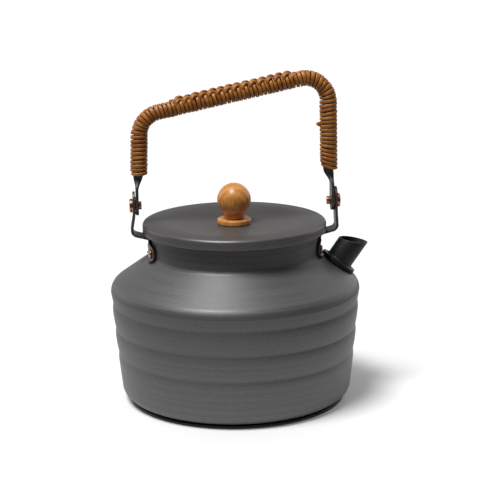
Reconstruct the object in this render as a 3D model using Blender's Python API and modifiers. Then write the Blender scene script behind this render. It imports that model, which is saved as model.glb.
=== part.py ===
"""A camping kettle with a swinging bail handle, in metres, +Z up, spout toward +X.

The origin is the centre of the base, on the floor. Every piece is one object.
"""
import math

import bmesh
import bpy
from mathutils import Matrix, Vector

# Gaps
TOUCH = 0.0003
LID_PLAY = 0.0005
LID_TO_RIVET = 0.0006

# Body, a deep drawn aluminium shell
WALL = 0.0012
BODY_RADIUS = 0.0800
SHOULDER_HEIGHT = 0.0717
SHOULDER_ROUND = 0.0081
SHOULDER_SLOPE = math.radians(35.0)
SHOULDER_WIDTH = 0.0264
NECK_FILLET = 0.0032
NECK_LENGTH = 0.0195
RIM_BEAD = 0.0023
SIDE_TAPER = 0.0057
FLOOR_ROUND = 0.0080
SIDE_BULGE = 0.0004
RIB_COUNT = 3
RIB_TOP_DROP = 0.0074
RIB_PITCH = 0.01625
RIB_DEPTH = 0.0010
RIB_RISE = 0.0028
RIB_FALL = 0.0105
ROUND_STEPS = 34

# Base plate under the body
BASE_INSET = 0.0043
BASE_THICKNESS = 0.0020
BASE_ROUND = 0.0007

# Lid, one stamped sheet
LID_SHEET = 0.0012
LID_SKIRT = 0.0057
LID_EDGE_ROUND = 0.0012
DISH_INSET = 0.0145
DISH_DEPTH = 0.0019
DISH_SLOPE = 0.0016

# Knob and the screw that holds it
KNOB_RADIUS = 0.01075
KNOB_NECK_RADIUS = 0.0065
KNOB_STEM = 0.0033
KNOB_BASE_RADIUS = 0.0108
KNOB_BASE_THICKNESS = 0.0034
KNOB_BASE_ROUND = 0.0014
SCREW_RADIUS = 0.0020
SCREW_REACH = 0.0115
SCREW_HEAD_RADIUS = 0.0040
SCREW_HEAD_HEIGHT = 0.0024
WASHER_RADIUS = 0.0050
WASHER_THICKNESS = 0.0008
INSERT_RADIUS = 0.0031
INSERT_LENGTH = 0.0090

# Spout, pressed through the shoulder and flared inside
SPOUT_SHIFT = 0.00045
SPOUT_RADIUS = 0.0086
SPOUT_WALL = 0.0012
SPOUT_SHORT_SIDE = 0.0147
SPOUT_LONG_SIDE = 0.0224
SPOUT_FLANGE_MARGIN = 0.00107
SPOUT_FLANGE_THICKNESS = 0.0011
SPOUT_FILLET = 0.0016
SPOUT_FLARE_RADIUS = 0.0101
SPOUT_FLARE_THICKNESS = 0.0009
SPOUT_FLARE_DROP = 0.0005
GASKET_THICKNESS = 0.0008

# Brackets riveted to the neck
BRACKET_SHEET = 0.0015
BRACKET_WIDTH = 0.0120
LUG_OVER_CONE = 0.0037
LUG_RADIUS = 0.0056
RIVET_SPREAD = 0.0110
LUG_ARCH_DROP = 0.0016
STRAP_UNDER_LID = 0.0029
STRAP_BEND_RISE = 0.0013
STRAP_LEAN = 0.0006
STRAP_INNER_BEND = 0.0016
STRAP_OUTER_BEND = 0.0036
STRAP_OVER_HINGE = 0.0090
RIVET_SHANK_RADIUS = 0.0015
RIVET_HEAD_RADIUS = 0.0027
RIVET_HEAD_HEIGHT = 0.0015
RIVET_TAIL_HEIGHT = 0.0009

# Hinges
HINGE_OVER_BEND = 0.0204
HINGE_SHANK_RADIUS = 0.0019
HINGE_HEAD_RADIUS = 0.0044
HINGE_HEAD_HEIGHT = 0.0022
HINGE_TAIL_RADIUS = 0.0025
HINGE_TAIL_LENGTH = 0.0019
HINGE_WASHER_RADIUS = 0.0055
HINGE_WASHER_THICKNESS = 0.0005

# Bail handle, a tube pressed flat at both ends
BAIL_TUBE_RADIUS = 0.0032
BAIL_TAB_THICKNESS = 0.0017
BAIL_TAB_HALF_WIDTH = 0.0062
BAIL_TAB_TIP_HALF_WIDTH = 0.0009
BAIL_TAB_TOP = 0.0110
BAIL_PRESS_TOP = 0.0200
BAIL_LEFT_HEIGHT = 0.0580
BAIL_RIGHT_HEIGHT = 0.0821
BAIL_LEFT_DRAW = 0.00335
BAIL_RIGHT_DRAW = 0.00255
BAIL_LEFT_BEND = 0.0103
BAIL_RIGHT_BEND = 0.0112
BAIL_ARM_INSET = 0.0021

# Cane wound round the bail in one unbroken run
CANE_RADIUS = 0.00075
CANE_PITCH = 0.00256
CANE_LEAST_GAP = 0.00060
CANE_POINTS_PER_TURN = 8
CANE_LEFT_START = 0.0215
CANE_RIGHT_END = 0.0185

# Places worked out from the sizes
FLOOR_HEIGHT = BASE_THICKNESS + TOUCH
FOOT_RADIUS = BODY_RADIUS - SIDE_TAPER
FLOOR_RADIUS = FOOT_RADIUS - FLOOR_ROUND
BASE_RADIUS = FOOT_RADIUS - BASE_INSET
RIB_TOP_HEIGHT = SHOULDER_HEIGHT - RIB_TOP_DROP
NECK_RADIUS = BODY_RADIUS - SHOULDER_WIDTH
CONE_WIDE_RADIUS = BODY_RADIUS - SHOULDER_ROUND * (1 - math.sin(SHOULDER_SLOPE))
CONE_WIDE_HEIGHT = SHOULDER_HEIGHT + SHOULDER_ROUND * math.cos(SHOULDER_SLOPE)
CONE_NARROW_RADIUS = NECK_RADIUS + NECK_FILLET * (1 - math.sin(SHOULDER_SLOPE))
CONE_HALF_WIDTH = (CONE_WIDE_RADIUS - CONE_NARROW_RADIUS) / 2
NECK_FOOT = CONE_WIDE_HEIGHT + (CONE_WIDE_RADIUS - NECK_RADIUS) * math.tan(SHOULDER_SLOPE)
RIM_HEIGHT = NECK_FOOT + NECK_LENGTH
BEAD_CENTRE = NECK_RADIUS - WALL + RIM_BEAD
LID_INNER_RADIUS = BEAD_CENTRE + RIM_BEAD + LID_PLAY
LID_RADIUS = LID_INNER_RADIUS + LID_SHEET
DISH_RADIUS = LID_RADIUS - DISH_INSET
LID_UNDER = RIM_HEIGHT + TOUCH
LID_TOP = LID_UNDER + LID_SHEET
LID_BOTTOM = LID_TOP - LID_SKIRT
DISH_FLOOR = LID_TOP - DISH_DEPTH
SPOUT_REACH = CONE_NARROW_RADIUS + CONE_HALF_WIDTH + SPOUT_SHIFT
SPOUT_FLANGE_RADIUS = CONE_HALF_WIDTH / math.cos(SHOULDER_SLOPE) - SPOUT_FLANGE_MARGIN
LUG_HEIGHT = NECK_FOOT + LUG_OVER_CONE
STRAP_BEND_HEIGHT = LID_BOTTOM - STRAP_UNDER_LID
HINGE_HEIGHT = STRAP_BEND_HEIGHT + HINGE_OVER_BEND
KNOB_BASE_BOTTOM = DISH_FLOOR + TOUCH
KNOB_BOTTOM = KNOB_BASE_BOTTOM + KNOB_BASE_THICKNESS + TOUCH
SCREW_HOLE_RADIUS = SCREW_RADIUS + TOUCH
INSERT_BOTTOM = KNOB_BOTTOM + TOUCH
TAIL_INNER = LID_RADIUS + LID_TO_RIVET
TAB_INNER = TAIL_INNER + HINGE_TAIL_LENGTH + TOUCH
TAB_OUTER = TAB_INNER + BAIL_TAB_THICKNESS
TAB_CENTRE = (TAB_INNER + TAB_OUTER) / 2
HINGE_WASHER_INNER = TAB_OUTER + TOUCH
STRAP_INNER = HINGE_WASHER_INNER + HINGE_WASHER_THICKNESS + TOUCH
STRAP_OUTER = STRAP_INNER + BRACKET_SHEET
HINGE_HOLE_RADIUS = HINGE_SHANK_RADIUS + TOUCH
RIVET_HOLE_RADIUS = RIVET_SHANK_RADIUS + TOUCH
PLATE_INNER = NECK_RADIUS + TOUCH
PLATE_OUTER = PLATE_INNER + BRACKET_SHEET
RIVET_ANGLE = math.asin(RIVET_SPREAD / PLATE_OUTER)
SIDES = {"right": 0.0, "left": math.pi}


def clear_scene():
    for thing in list(bpy.data.objects):
        bpy.data.objects.remove(thing, do_unlink=True)


def new_collection(name):
    group = bpy.data.collections.new(name)
    bpy.context.scene.collection.children.link(group)
    return group


def linear(channel):
    """One sRGB channel, 0 to 255, as the linear value a material takes."""
    value = channel / 255
    return value / 12.92 if value <= 0.04045 else ((value + 0.055) / 1.055) ** 2.4


def finish(name, colour, roughness, metallic):
    material = bpy.data.materials.new(name)
    material.use_nodes = True
    shader = material.node_tree.nodes["Principled BSDF"]
    shader.inputs["Base Color"].default_value = [linear(c) for c in colour] + [1.0]
    shader.inputs["Roughness"].default_value = roughness
    shader.inputs["Metallic"].default_value = metallic
    return material


def add_object(name, mesh, group, material=None):
    thing = bpy.data.objects.new(name, mesh)
    group.objects.link(thing)
    if material:
        mesh.materials.clear()
        mesh.materials.append(material)
    return thing


def smooth(thing, angle=35):
    thing.data.shade_smooth()
    thing.data.set_sharp_from_angle(angle=math.radians(angle))


def bake(thing):
    """Replace an object's mesh or curve by the mesh that its modifiers give."""
    depsgraph = bpy.context.evaluated_depsgraph_get()
    mesh = bpy.data.meshes.new_from_object(thing.evaluated_get(depsgraph))
    edit = bmesh.new()
    edit.from_mesh(mesh)
    bmesh.ops.remove_doubles(edit, verts=edit.verts, dist=1e-6)
    edit.to_mesh(mesh)
    edit.free()
    name = thing.name
    group = thing.users_collection[0]
    place = thing.matrix_world.copy()
    bpy.data.objects.remove(thing, do_unlink=True)
    solid = bpy.data.objects.new(name, mesh)
    group.objects.link(solid)
    solid.matrix_world = place
    return solid


def arc(centre, radius, start, end, pieces):
    """Points along an arc in a radius and height plane, angles in degrees."""
    points = []
    for i in range(pieces + 1):
        angle = math.radians(start + (end - start) * i / pieces)
        points.append((centre[0] + radius * math.cos(angle),
                       centre[1] + radius * math.sin(angle)))
    return points


def offset_line(points, distance):
    """Shift a line of (radius, height) points to its left by a distance."""
    shifted = []
    for i, point in enumerate(points):
        before = Vector(points[max(i - 1, 0)])
        after = Vector(points[min(i + 1, len(points) - 1)])
        along = (after - before).normalized()
        shifted.append((point[0] - along.y * distance, point[1] + along.x * distance))
    return shifted


def turned(name, profile, group, material=None, closed=False, steps=ROUND_STEPS):
    """A turned solid. The profile runs down its outer side, at +X."""
    edit = bmesh.new()
    corners = [edit.verts.new((radius, 0, height)) for radius, height in profile]
    for first, second in zip(corners, corners[1:]):
        edit.edges.new((first, second))
    if closed:
        edit.edges.new((corners[-1], corners[0]))
    mesh = bpy.data.meshes.new(name)
    edit.to_mesh(mesh)
    edit.free()
    thing = add_object(name, mesh, group, material)
    screw = thing.modifiers.new("Turn", "SCREW")
    screw.axis = "Z"
    screw.steps = steps
    screw.render_steps = steps
    screw.use_merge_vertices = True
    screw.merge_threshold = 1e-5
    screw.use_smooth_shade = True
    return thing


def cut(thing, tool, operation="DIFFERENCE"):
    modifier = thing.modifiers.new(operation.title(), "BOOLEAN")
    modifier.operation = operation
    modifier.object = tool
    modifier.solver = "EXACT"
    tool.hide_render = True
    tool.display_type = "WIRE"


def cylinder_tool(name, radius, length, place, group, steps=24):
    """A straight cutter, centred, that lies along the Z axis of its place."""
    edit = bmesh.new()
    bmesh.ops.create_cone(edit, cap_ends=True, segments=steps,
                          radius1=radius, radius2=radius, depth=length)
    mesh = bpy.data.meshes.new(name)
    edit.to_mesh(mesh)
    edit.free()
    tool = add_object(name, mesh, group)
    tool.matrix_world = place
    return tool


def slab(name, outline, thickness, place, group):
    """A flat outline as a 2D curve, made as thick as asked, about its middle."""
    curve = bpy.data.curves.new(name, "CURVE")
    curve.dimensions = "2D"
    curve.fill_mode = "BOTH"
    curve.extrude = thickness / 2
    line = curve.splines.new("POLY")
    line.points.add(len(outline) - 1)
    for point, (across, up) in zip(line.points, outline):
        point.co = (across, up, 0, 1)
    line.use_cyclic_u = True
    thing = bpy.data.objects.new(name, curve)
    group.objects.link(thing)
    thing.matrix_world = place
    return bake(thing)


def rounded(corners, radii, pieces=10):
    """A line through corners, each turned by an arc of its own radius."""
    points = [Vector(corners[0])]
    for i in range(1, len(corners) - 1):
        corner = Vector(corners[i])
        back = (Vector(corners[i - 1]) - corner).normalized()
        ahead = (Vector(corners[i + 1]) - corner).normalized()
        half = back.angle(ahead) / 2
        reach = radii[i - 1] / math.tan(half)
        middle = corner + (back + ahead).normalized() * radii[i - 1] / math.sin(half)
        start = corner + back * reach - middle
        end = corner + ahead * reach - middle
        sweep = start.angle_signed(end)
        steps = max(2, round(pieces * abs(sweep) / (math.pi / 2)))
        for k in range(steps + 1):
            turn = Matrix.Rotation(-sweep * k / steps, 2)
            points.append(middle + turn @ start)
    points.append(Vector(corners[-1]))
    return points


def cone_height(radius):
    return CONE_WIDE_HEIGHT + (CONE_WIDE_RADIUS - radius) * math.tan(SHOULDER_SLOPE)


def neck_fillet(pieces):
    """The hollow corner between cone and neck, from the cone upward."""
    reach = NECK_FILLET * math.tan((math.pi / 2 - SHOULDER_SLOPE) / 2)
    centre = (NECK_RADIUS + NECK_FILLET, NECK_FOOT + reach)
    return arc(centre, NECK_FILLET, 270 - math.degrees(SHOULDER_SLOPE), 180, pieces)


def side_radius(height):
    """The tapered side with its ribs, from the floor corner to the shoulder."""
    low = FLOOR_HEIGHT + FLOOR_ROUND
    share = (height - low) / (SHOULDER_HEIGHT - low)
    radius = FOOT_RADIUS + SIDE_TAPER * share + 4 * SIDE_BULGE * share * (1 - share)
    for rib in range(RIB_COUNT):
        above = height - (RIB_TOP_HEIGHT - rib * RIB_PITCH)
        if 0 <= above < RIB_FALL:
            radius -= RIB_DEPTH * (1 - above / RIB_FALL) ** 2
        elif -RIB_RISE < above < 0:
            radius -= RIB_DEPTH * (1 + math.cos(math.pi * above / RIB_RISE)) / 2
    return radius


def side_heights():
    heights = []
    for rib in reversed(range(RIB_COUNT)):
        valley = RIB_TOP_HEIGHT - rib * RIB_PITCH
        heights += [valley - RIB_RISE, valley - RIB_RISE / 2, valley]
        heights += [valley + RIB_FALL / 3]
    return heights


def body_outer_line():
    """The outside of the body from the middle of its floor to the neck."""
    line = [(0.0, FLOOR_HEIGHT)]
    line += arc((FLOOR_RADIUS, FLOOR_HEIGHT + FLOOR_ROUND), FLOOR_ROUND, 270, 360, 3)
    line += [(side_radius(height), height) for height in side_heights()]
    line += arc((BODY_RADIUS - SHOULDER_ROUND, SHOULDER_HEIGHT), SHOULDER_ROUND,
                0, 90 - math.degrees(SHOULDER_SLOPE), 4)
    line += neck_fillet(3)
    return line


def build_body(parts, tools, material):
    outer = body_outer_line()
    inner = offset_line(outer, WALL)
    inner[0] = (0.0, FLOOR_HEIGHT + WALL)
    meets = math.degrees(math.acos((NECK_RADIUS - BEAD_CENTRE) / RIM_BEAD))
    bead = arc((BEAD_CENTRE, RIM_HEIGHT - RIM_BEAD), RIM_BEAD, 180, -meets, 7)
    body = turned("body_shell", inner + bead + outer[::-1], parts, material)
    cut(body, cylinder_tool("spout_hole", SPOUT_RADIUS + TOUCH, 12 * WALL, spout_place(),
                            tools, 28))
    for tool in rivet_tools(tools):
        cut(body, tool)
    return body


def rivet_places():
    """Axes of the four neck rivets, pointing outward, named by side and end."""
    places = {}
    for side, turn in SIDES.items():
        for end, way in (("front", -1), ("rear", 1)):
            angle = turn + (way if side == "right" else -way) * RIVET_ANGLE
            outward = Matrix.Rotation(angle, 4, "Z") @ Matrix.Rotation(math.pi / 2, 4, "Y")
            places[f"{side}_{end}"] = Matrix.Translation((0, 0, LUG_HEIGHT)) @ outward
    return places


def rivet_tools(tools):
    made = []
    for name, place in rivet_places().items():
        middle = place @ Matrix.Translation((0, 0, NECK_RADIUS))
        made.append(cylinder_tool(f"rivet_hole_{name}", RIVET_HOLE_RADIUS,
                                  4 * (WALL + BRACKET_SHEET), middle, tools, 12))
    return made


def spout_place():
    """The spout's axis, square to the cone, from its point on the cone."""
    return (Matrix.Translation((SPOUT_REACH, 0, cone_height(SPOUT_REACH)))
            @ Matrix.Rotation(SHOULDER_SLOPE, 4, "Y"))


def build_spout(parts, tools, metal, rubber):
    gasket_low = TOUCH
    flange_low = gasket_low + GASKET_THICKNESS + TOUCH
    flange_top = flange_low + SPOUT_FLANGE_THICKNESS
    flare_top = -(WALL + SPOUT_FLARE_DROP + TOUCH)
    flare_low = flare_top - SPOUT_FLARE_THICKNESS
    bore = SPOUT_RADIUS - SPOUT_WALL
    spare = SPOUT_LONG_SIDE + 2 * SPOUT_WALL
    profile = [(bore, spare), (SPOUT_RADIUS, spare)]
    profile += arc((SPOUT_RADIUS + SPOUT_FILLET, flange_top + SPOUT_FILLET),
                   SPOUT_FILLET, 180, 270, 3)
    profile += [(SPOUT_FLANGE_RADIUS, flange_top), (SPOUT_FLANGE_RADIUS, flange_low),
                (SPOUT_RADIUS, flange_low), (SPOUT_RADIUS, flare_top),
                (SPOUT_FLARE_RADIUS, flare_top), (SPOUT_FLARE_RADIUS, flare_low),
                (bore, flare_low)]
    spout = turned("spout", profile, parts, metal, closed=True, steps=28)
    spout.matrix_world = spout_place()
    cut(spout, mouth_tool(tools))
    gasket = turned("spout_gasket",
                    [(SPOUT_RADIUS + TOUCH, gasket_low + GASKET_THICKNESS),
                     (SPOUT_FLANGE_RADIUS, gasket_low + GASKET_THICKNESS),
                     (SPOUT_FLANGE_RADIUS, gasket_low), (SPOUT_RADIUS + TOUCH, gasket_low)],
                    parts, rubber, closed=True, steps=28)
    gasket.matrix_world = spout_place()


def mouth_tool(tools):
    """A block that trims the spout's mouth from its short to its long side."""
    size = 4 * SPOUT_RADIUS
    tilt = math.atan2(SPOUT_LONG_SIDE - SPOUT_SHORT_SIDE, 2 * SPOUT_RADIUS)
    edit = bmesh.new()
    bmesh.ops.create_cube(edit, size=size)
    mesh = bpy.data.meshes.new("mouth_trim")
    edit.to_mesh(mesh)
    edit.free()
    tool = add_object("mouth_trim", mesh, tools)
    middle = (SPOUT_LONG_SIDE + SPOUT_SHORT_SIDE) / 2
    tool.matrix_world = (spout_place() @ Matrix.Translation((0, 0, middle))
                         @ Matrix.Rotation(-tilt, 4, "Y") @ Matrix.Translation((0, 0, size / 2)))
    return tool


def build_base(parts, material):
    profile = [(0, BASE_THICKNESS)]
    profile += arc((BASE_RADIUS - BASE_ROUND, BASE_THICKNESS - BASE_ROUND),
                   BASE_ROUND, 90, 0, 2)
    profile += arc((BASE_RADIUS - BASE_ROUND, BASE_ROUND), BASE_ROUND, 0, -90, 2)
    profile += [(0, 0)]
    turned("base_plate", profile, parts, material)


def build_lid(parts, material):
    floor_under = DISH_FLOOR - LID_SHEET
    inner_round = LID_EDGE_ROUND / 2
    profile = [(SCREW_HOLE_RADIUS, DISH_FLOOR), (DISH_RADIUS - DISH_SLOPE, DISH_FLOOR),
               (DISH_RADIUS, LID_TOP)]
    profile += arc((LID_RADIUS - LID_EDGE_ROUND, LID_TOP - LID_EDGE_ROUND),
                   LID_EDGE_ROUND, 90, 0, 3)
    profile += [(LID_RADIUS, LID_BOTTOM), (LID_INNER_RADIUS, LID_BOTTOM)]
    profile += arc((LID_INNER_RADIUS - inner_round, LID_UNDER - inner_round),
                   inner_round, 0, 90, 2)
    profile += [(DISH_RADIUS + LID_SHEET / 2, LID_UNDER),
                (DISH_RADIUS - DISH_SLOPE + LID_SHEET / 2, floor_under),
                (SCREW_HOLE_RADIUS, floor_under)]
    turned("lid_pan", profile, parts, material, closed=True)


def build_knob(parts, wood, brass, steel):
    """The wooden ball on its disc, and the screw, washer and insert inside."""
    low = KNOB_BASE_BOTTOM
    high = low + KNOB_BASE_THICKNESS
    edge = KNOB_BASE_RADIUS - KNOB_BASE_ROUND
    disc = [(SCREW_HOLE_RADIUS, high)]
    disc += arc((edge, high - KNOB_BASE_ROUND), KNOB_BASE_ROUND, 90, 0, 3)
    disc += arc((edge, low + KNOB_BASE_ROUND), KNOB_BASE_ROUND, 0, -90, 3)
    disc += [(SCREW_HOLE_RADIUS, low)]
    turned("knob_base", disc, parts, wood, closed=True, steps=24)

    neck_top = KNOB_BOTTOM + KNOB_STEM
    drop = math.acos(KNOB_NECK_RADIUS / KNOB_RADIUS)
    centre = neck_top + KNOB_RADIUS * math.sin(drop)
    ball = arc((0, centre), KNOB_RADIUS, 90, -math.degrees(drop), 10)
    ball[0] = (0, centre + KNOB_RADIUS)
    ball += [(KNOB_NECK_RADIUS, KNOB_BOTTOM), (INSERT_RADIUS + TOUCH, KNOB_BOTTOM)]
    bore_top = INSERT_BOTTOM + max(INSERT_LENGTH, SCREW_REACH) + TOUCH
    ball += [(INSERT_RADIUS + TOUCH, bore_top), (0, bore_top)]
    turned("knob_ball", ball, parts, wood, steps=24)

    top = INSERT_BOTTOM + INSERT_LENGTH
    turned("knob_insert", [(SCREW_HOLE_RADIUS, top), (INSERT_RADIUS, top),
                           (INSERT_RADIUS, INSERT_BOTTOM), (SCREW_HOLE_RADIUS, INSERT_BOTTOM)],
           parts, brass, closed=True, steps=16)

    washer_top = DISH_FLOOR - LID_SHEET - TOUCH
    washer_low = washer_top - WASHER_THICKNESS
    turned("knob_washer", [(SCREW_HOLE_RADIUS, washer_top), (WASHER_RADIUS, washer_top),
                           (WASHER_RADIUS, washer_low), (SCREW_HOLE_RADIUS, washer_low)],
           parts, steel, closed=True, steps=16)

    head_top = washer_low - TOUCH
    head_low = head_top - SCREW_HEAD_HEIGHT
    tip = KNOB_BOTTOM + SCREW_REACH
    screw = [(0, tip), (SCREW_RADIUS, tip), (SCREW_RADIUS, head_top),
             (SCREW_HEAD_RADIUS, head_top)]
    screw += arc((SCREW_HEAD_RADIUS - SCREW_HEAD_HEIGHT / 2, head_low + SCREW_HEAD_HEIGHT / 2),
                 SCREW_HEAD_HEIGHT / 2, 0, -90, 3)
    screw += [(0, head_low)]
    turned("knob_screw", screw, parts, steel, steps=16)


def bracket_outline():
    """The bracket's flat shape from outside: a strap that stands on two ears.

    The ears hold the rivets. Between them the edge arches over the spout's flange.
    """
    half = BRACKET_WIDTH / 2
    tip = HINGE_HEIGHT + STRAP_OVER_HINGE - half
    foot = LUG_HEIGHT + LUG_RADIUS
    drop = math.degrees(math.asin(LUG_ARCH_DROP / LUG_RADIUS))
    outline = arc((0, tip), half, 0, 180, 8)
    outline += [(-half, foot)]
    outline += arc((-RIVET_SPREAD, LUG_HEIGHT), LUG_RADIUS, 90, 360 - drop, 9)
    outline += arc((RIVET_SPREAD, LUG_HEIGHT), LUG_RADIUS, drop - 180, 90, 9)
    outline += [(half, foot)]
    return outline


def strap_line():
    """The middle of the strap's sheet, from the neck out and up to its tip."""
    inner = PLATE_INNER + BRACKET_SHEET / 2
    outer = STRAP_INNER + BRACKET_SHEET / 2
    corners = [(inner, LUG_HEIGHT + LUG_RADIUS / 2), (inner, STRAP_BEND_HEIGHT),
               (outer + STRAP_LEAN, STRAP_BEND_HEIGHT + STRAP_BEND_RISE),
               (outer, HINGE_HEIGHT - BRACKET_WIDTH / 2),
               (outer, HINGE_HEIGHT + STRAP_OVER_HINGE + BRACKET_SHEET)]
    return rounded(corners, [STRAP_INNER_BEND, STRAP_OUTER_BEND, BRACKET_WIDTH], 5)


def bracket_mesh(tools):
    """One bracket at +X: a lug wrapped on the neck and its shoulder, and a strap."""
    fillet = neck_fillet(4)
    lug_top = LUG_HEIGHT + LUG_RADIUS
    cone = (fillet[0][0] + LUG_RADIUS, cone_height(fillet[0][0] + LUG_RADIUS))
    neck = [cone] + fillet + [(NECK_RADIUS, lug_top)]
    inside = offset_line(neck, -TOUCH)
    outside = offset_line(neck, -(TOUCH + BRACKET_SHEET))
    bracket = turned("bracket_right", inside + outside[::-1], tools, closed=True, steps=72)

    middle = strap_line()
    flank = [(point.x, point.y) for point in middle]
    section = offset_line(flank, BRACKET_SHEET / 2) + offset_line(flank, -BRACKET_SHEET / 2)[::-1]
    upright = Matrix.Rotation(math.pi / 2, 4, "X")
    strap = slab("strap_sheet", section, BRACKET_WIDTH + 2 * TOUCH, upright, tools)
    cut(bracket, strap, "UNION")

    depth = 2 * (STRAP_OUTER - PLATE_INNER)
    facing = (Matrix.Translation(((STRAP_OUTER + PLATE_INNER) / 2, 0, 0))
              @ Matrix.Rotation(math.pi / 2, 4, "Z") @ Matrix.Rotation(math.pi / 2, 4, "X"))
    outline = slab("bracket_outline", bracket_outline(), depth, facing, tools)
    cut(bracket, outline, "INTERSECT")

    for name, place in rivet_places().items():
        if name.startswith("right"):
            middle = place @ Matrix.Translation((0, 0, PLATE_OUTER))
            cut(bracket, cylinder_tool(f"lug_hole_{name}", RIVET_HOLE_RADIUS,
                                       6 * BRACKET_SHEET, middle, tools, 12))
    across = (Matrix.Translation((STRAP_OUTER, 0, HINGE_HEIGHT))
              @ Matrix.Rotation(math.pi / 2, 4, "Y"))
    cut(bracket, cylinder_tool("strap_hole", HINGE_HOLE_RADIUS, 6 * BRACKET_SHEET,
                               across, tools, 20))
    solid = bake(bracket)
    mesh = solid.data
    bpy.data.objects.remove(solid, do_unlink=True)
    return mesh


def build_brackets(parts, tools, material):
    mesh = bracket_mesh(tools)
    for side, turn in SIDES.items():
        bracket = add_object(f"bracket_{side}", mesh.copy(), parts, material)
        bracket.rotation_euler.z = turn
        smooth(bracket)


def rivet_profile(head_radius, head_height, head_base, shank_radius, tail_radius, tail_span):
    """A rivet along its axis: domed head, shank, and the tail spread behind."""
    tail_high, tail_low = tail_span
    dome = (head_radius ** 2 + head_height ** 2) / (2 * head_height)
    spread = math.degrees(math.asin(head_radius / dome))
    profile = arc((0, head_base + head_height - dome), dome, 90, 90 - spread, 3)
    profile[0] = (0, head_base + head_height)
    profile += [(shank_radius, head_base), (shank_radius, tail_high), (tail_radius, tail_high),
                (tail_radius, tail_low), (0, tail_low)]
    return profile


def build_neck_rivets(parts, material):
    tail_high = NECK_RADIUS - WALL - TOUCH
    profile = rivet_profile(RIVET_HEAD_RADIUS, RIVET_HEAD_HEIGHT, PLATE_OUTER + TOUCH,
                            RIVET_SHANK_RADIUS, RIVET_HEAD_RADIUS,
                            (tail_high, tail_high - RIVET_TAIL_HEIGHT))
    for name, place in rivet_places().items():
        rivet = turned(f"neck_rivet_{name}", profile, parts, material, steps=12)
        rivet.matrix_world = place


def build_hinges(parts, copper, black):
    profile = rivet_profile(HINGE_HEAD_RADIUS, HINGE_HEAD_HEIGHT, STRAP_OUTER + TOUCH,
                            HINGE_SHANK_RADIUS, HINGE_TAIL_RADIUS,
                            (TAB_INNER - TOUCH, TAIL_INNER))
    outer = HINGE_WASHER_INNER + HINGE_WASHER_THICKNESS
    ring = [(HINGE_HOLE_RADIUS, outer), (HINGE_WASHER_RADIUS, outer),
            (HINGE_WASHER_RADIUS, HINGE_WASHER_INNER), (HINGE_HOLE_RADIUS, HINGE_WASHER_INNER)]
    for side, turn in SIDES.items():
        place = (Matrix.Translation((0, 0, HINGE_HEIGHT)) @ Matrix.Rotation(turn, 4, "Z")
                 @ Matrix.Rotation(math.pi / 2, 4, "Y"))
        turned(f"hinge_rivet_{side}", profile, parts, copper, steps=20).matrix_world = place
        turned(f"hinge_washer_{side}", ring, parts, black, closed=True,
               steps=20).matrix_world = place


def bail_line(pieces):
    """The middle of the bail tube in the X and Z plane, from left to right.

    Each bend has this many pieces in a quarter turn.
    """
    end = HINGE_HEIGHT - BAIL_TAB_HALF_WIDTH
    tab_top = HINGE_HEIGHT + BAIL_TAB_TOP
    arm_foot = HINGE_HEIGHT + BAIL_PRESS_TOP
    arm = TAB_CENTRE - BAIL_ARM_INSET
    left_corner = (BAIL_LEFT_DRAW - TAB_CENTRE, HINGE_HEIGHT + BAIL_LEFT_HEIGHT)
    right_corner = (TAB_CENTRE - BAIL_RIGHT_DRAW, HINGE_HEIGHT + BAIL_RIGHT_HEIGHT)
    corners = [(-TAB_CENTRE, end), (-TAB_CENTRE, tab_top), (-arm, arm_foot), left_corner,
               right_corner, (arm, arm_foot), (TAB_CENTRE, tab_top), (TAB_CENTRE, end)]
    ease = 2 * BAIL_TAB_HALF_WIDTH
    bends = [ease, ease, BAIL_LEFT_BEND, BAIL_RIGHT_BEND, ease, ease]
    return rounded(corners, bends, pieces)


def along(line, step):
    """The line's own points, and more between them wherever they are far apart."""
    points = [line[0]]
    for start, end in zip(line, line[1:]):
        pieces = max(1, math.ceil((end - start).length / step))
        points += [start.lerp(end, k / pieces) for k in range(1, pieces + 1)]
    return points


def tube_curve(name, points, radius, resolution, group):
    curve = bpy.data.curves.new(name, "CURVE")
    curve.dimensions = "3D"
    curve.bevel_depth = radius
    curve.bevel_resolution = resolution
    curve.use_fill_caps = True
    line = curve.splines.new("POLY")
    line.points.add(len(points) - 1)
    for point, position in zip(line.points, points):
        point.co = (*position, 1)
    thing = bpy.data.objects.new(name, curve)
    group.objects.link(thing)
    return bake(thing)


def press_ends(mesh, centre_line):
    """Flatten and widen the tube toward its two ends, and round the tabs."""
    tab_top = HINGE_HEIGHT + BAIL_TAB_TOP
    press_top = HINGE_HEIGHT + BAIL_PRESS_TOP
    for vertex in mesh.vertices:
        height = vertex.co.z
        if height >= press_top:
            continue
        share = min(1.0, (press_top - height) / (press_top - tab_top))
        share = share * share * (3 - 2 * share)
        middle = math.copysign(line_reach(centre_line, height), vertex.co.x)
        limit = BAIL_TUBE_RADIUS + share * (BAIL_TAB_THICKNESS / 2 - BAIL_TUBE_RADIUS)
        spread = share * share
        half_width = BAIL_TUBE_RADIUS + spread * (BAIL_TAB_HALF_WIDTH - BAIL_TUBE_RADIUS)
        under = max(0.0, HINGE_HEIGHT - height)
        if under:
            rest = BAIL_TAB_HALF_WIDTH ** 2 - under ** 2
            half_width = max(math.sqrt(max(rest, 0.0)), BAIL_TAB_TIP_HALF_WIDTH)
        offset = vertex.co.x - middle
        vertex.co.x = middle + max(-limit, min(limit, offset))
        vertex.co.y *= half_width / BAIL_TUBE_RADIUS


def line_reach(line, height):
    """How far from the middle plane an arm's line is, at a height near its end."""
    right = [point for point in line if point.x > 0]
    for high, low in zip(right, right[1:]):
        if low.y <= height <= high.y:
            return high.x + (low.x - high.x) * (high.y - height) / (high.y - low.y)
    return right[-1].x


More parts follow.
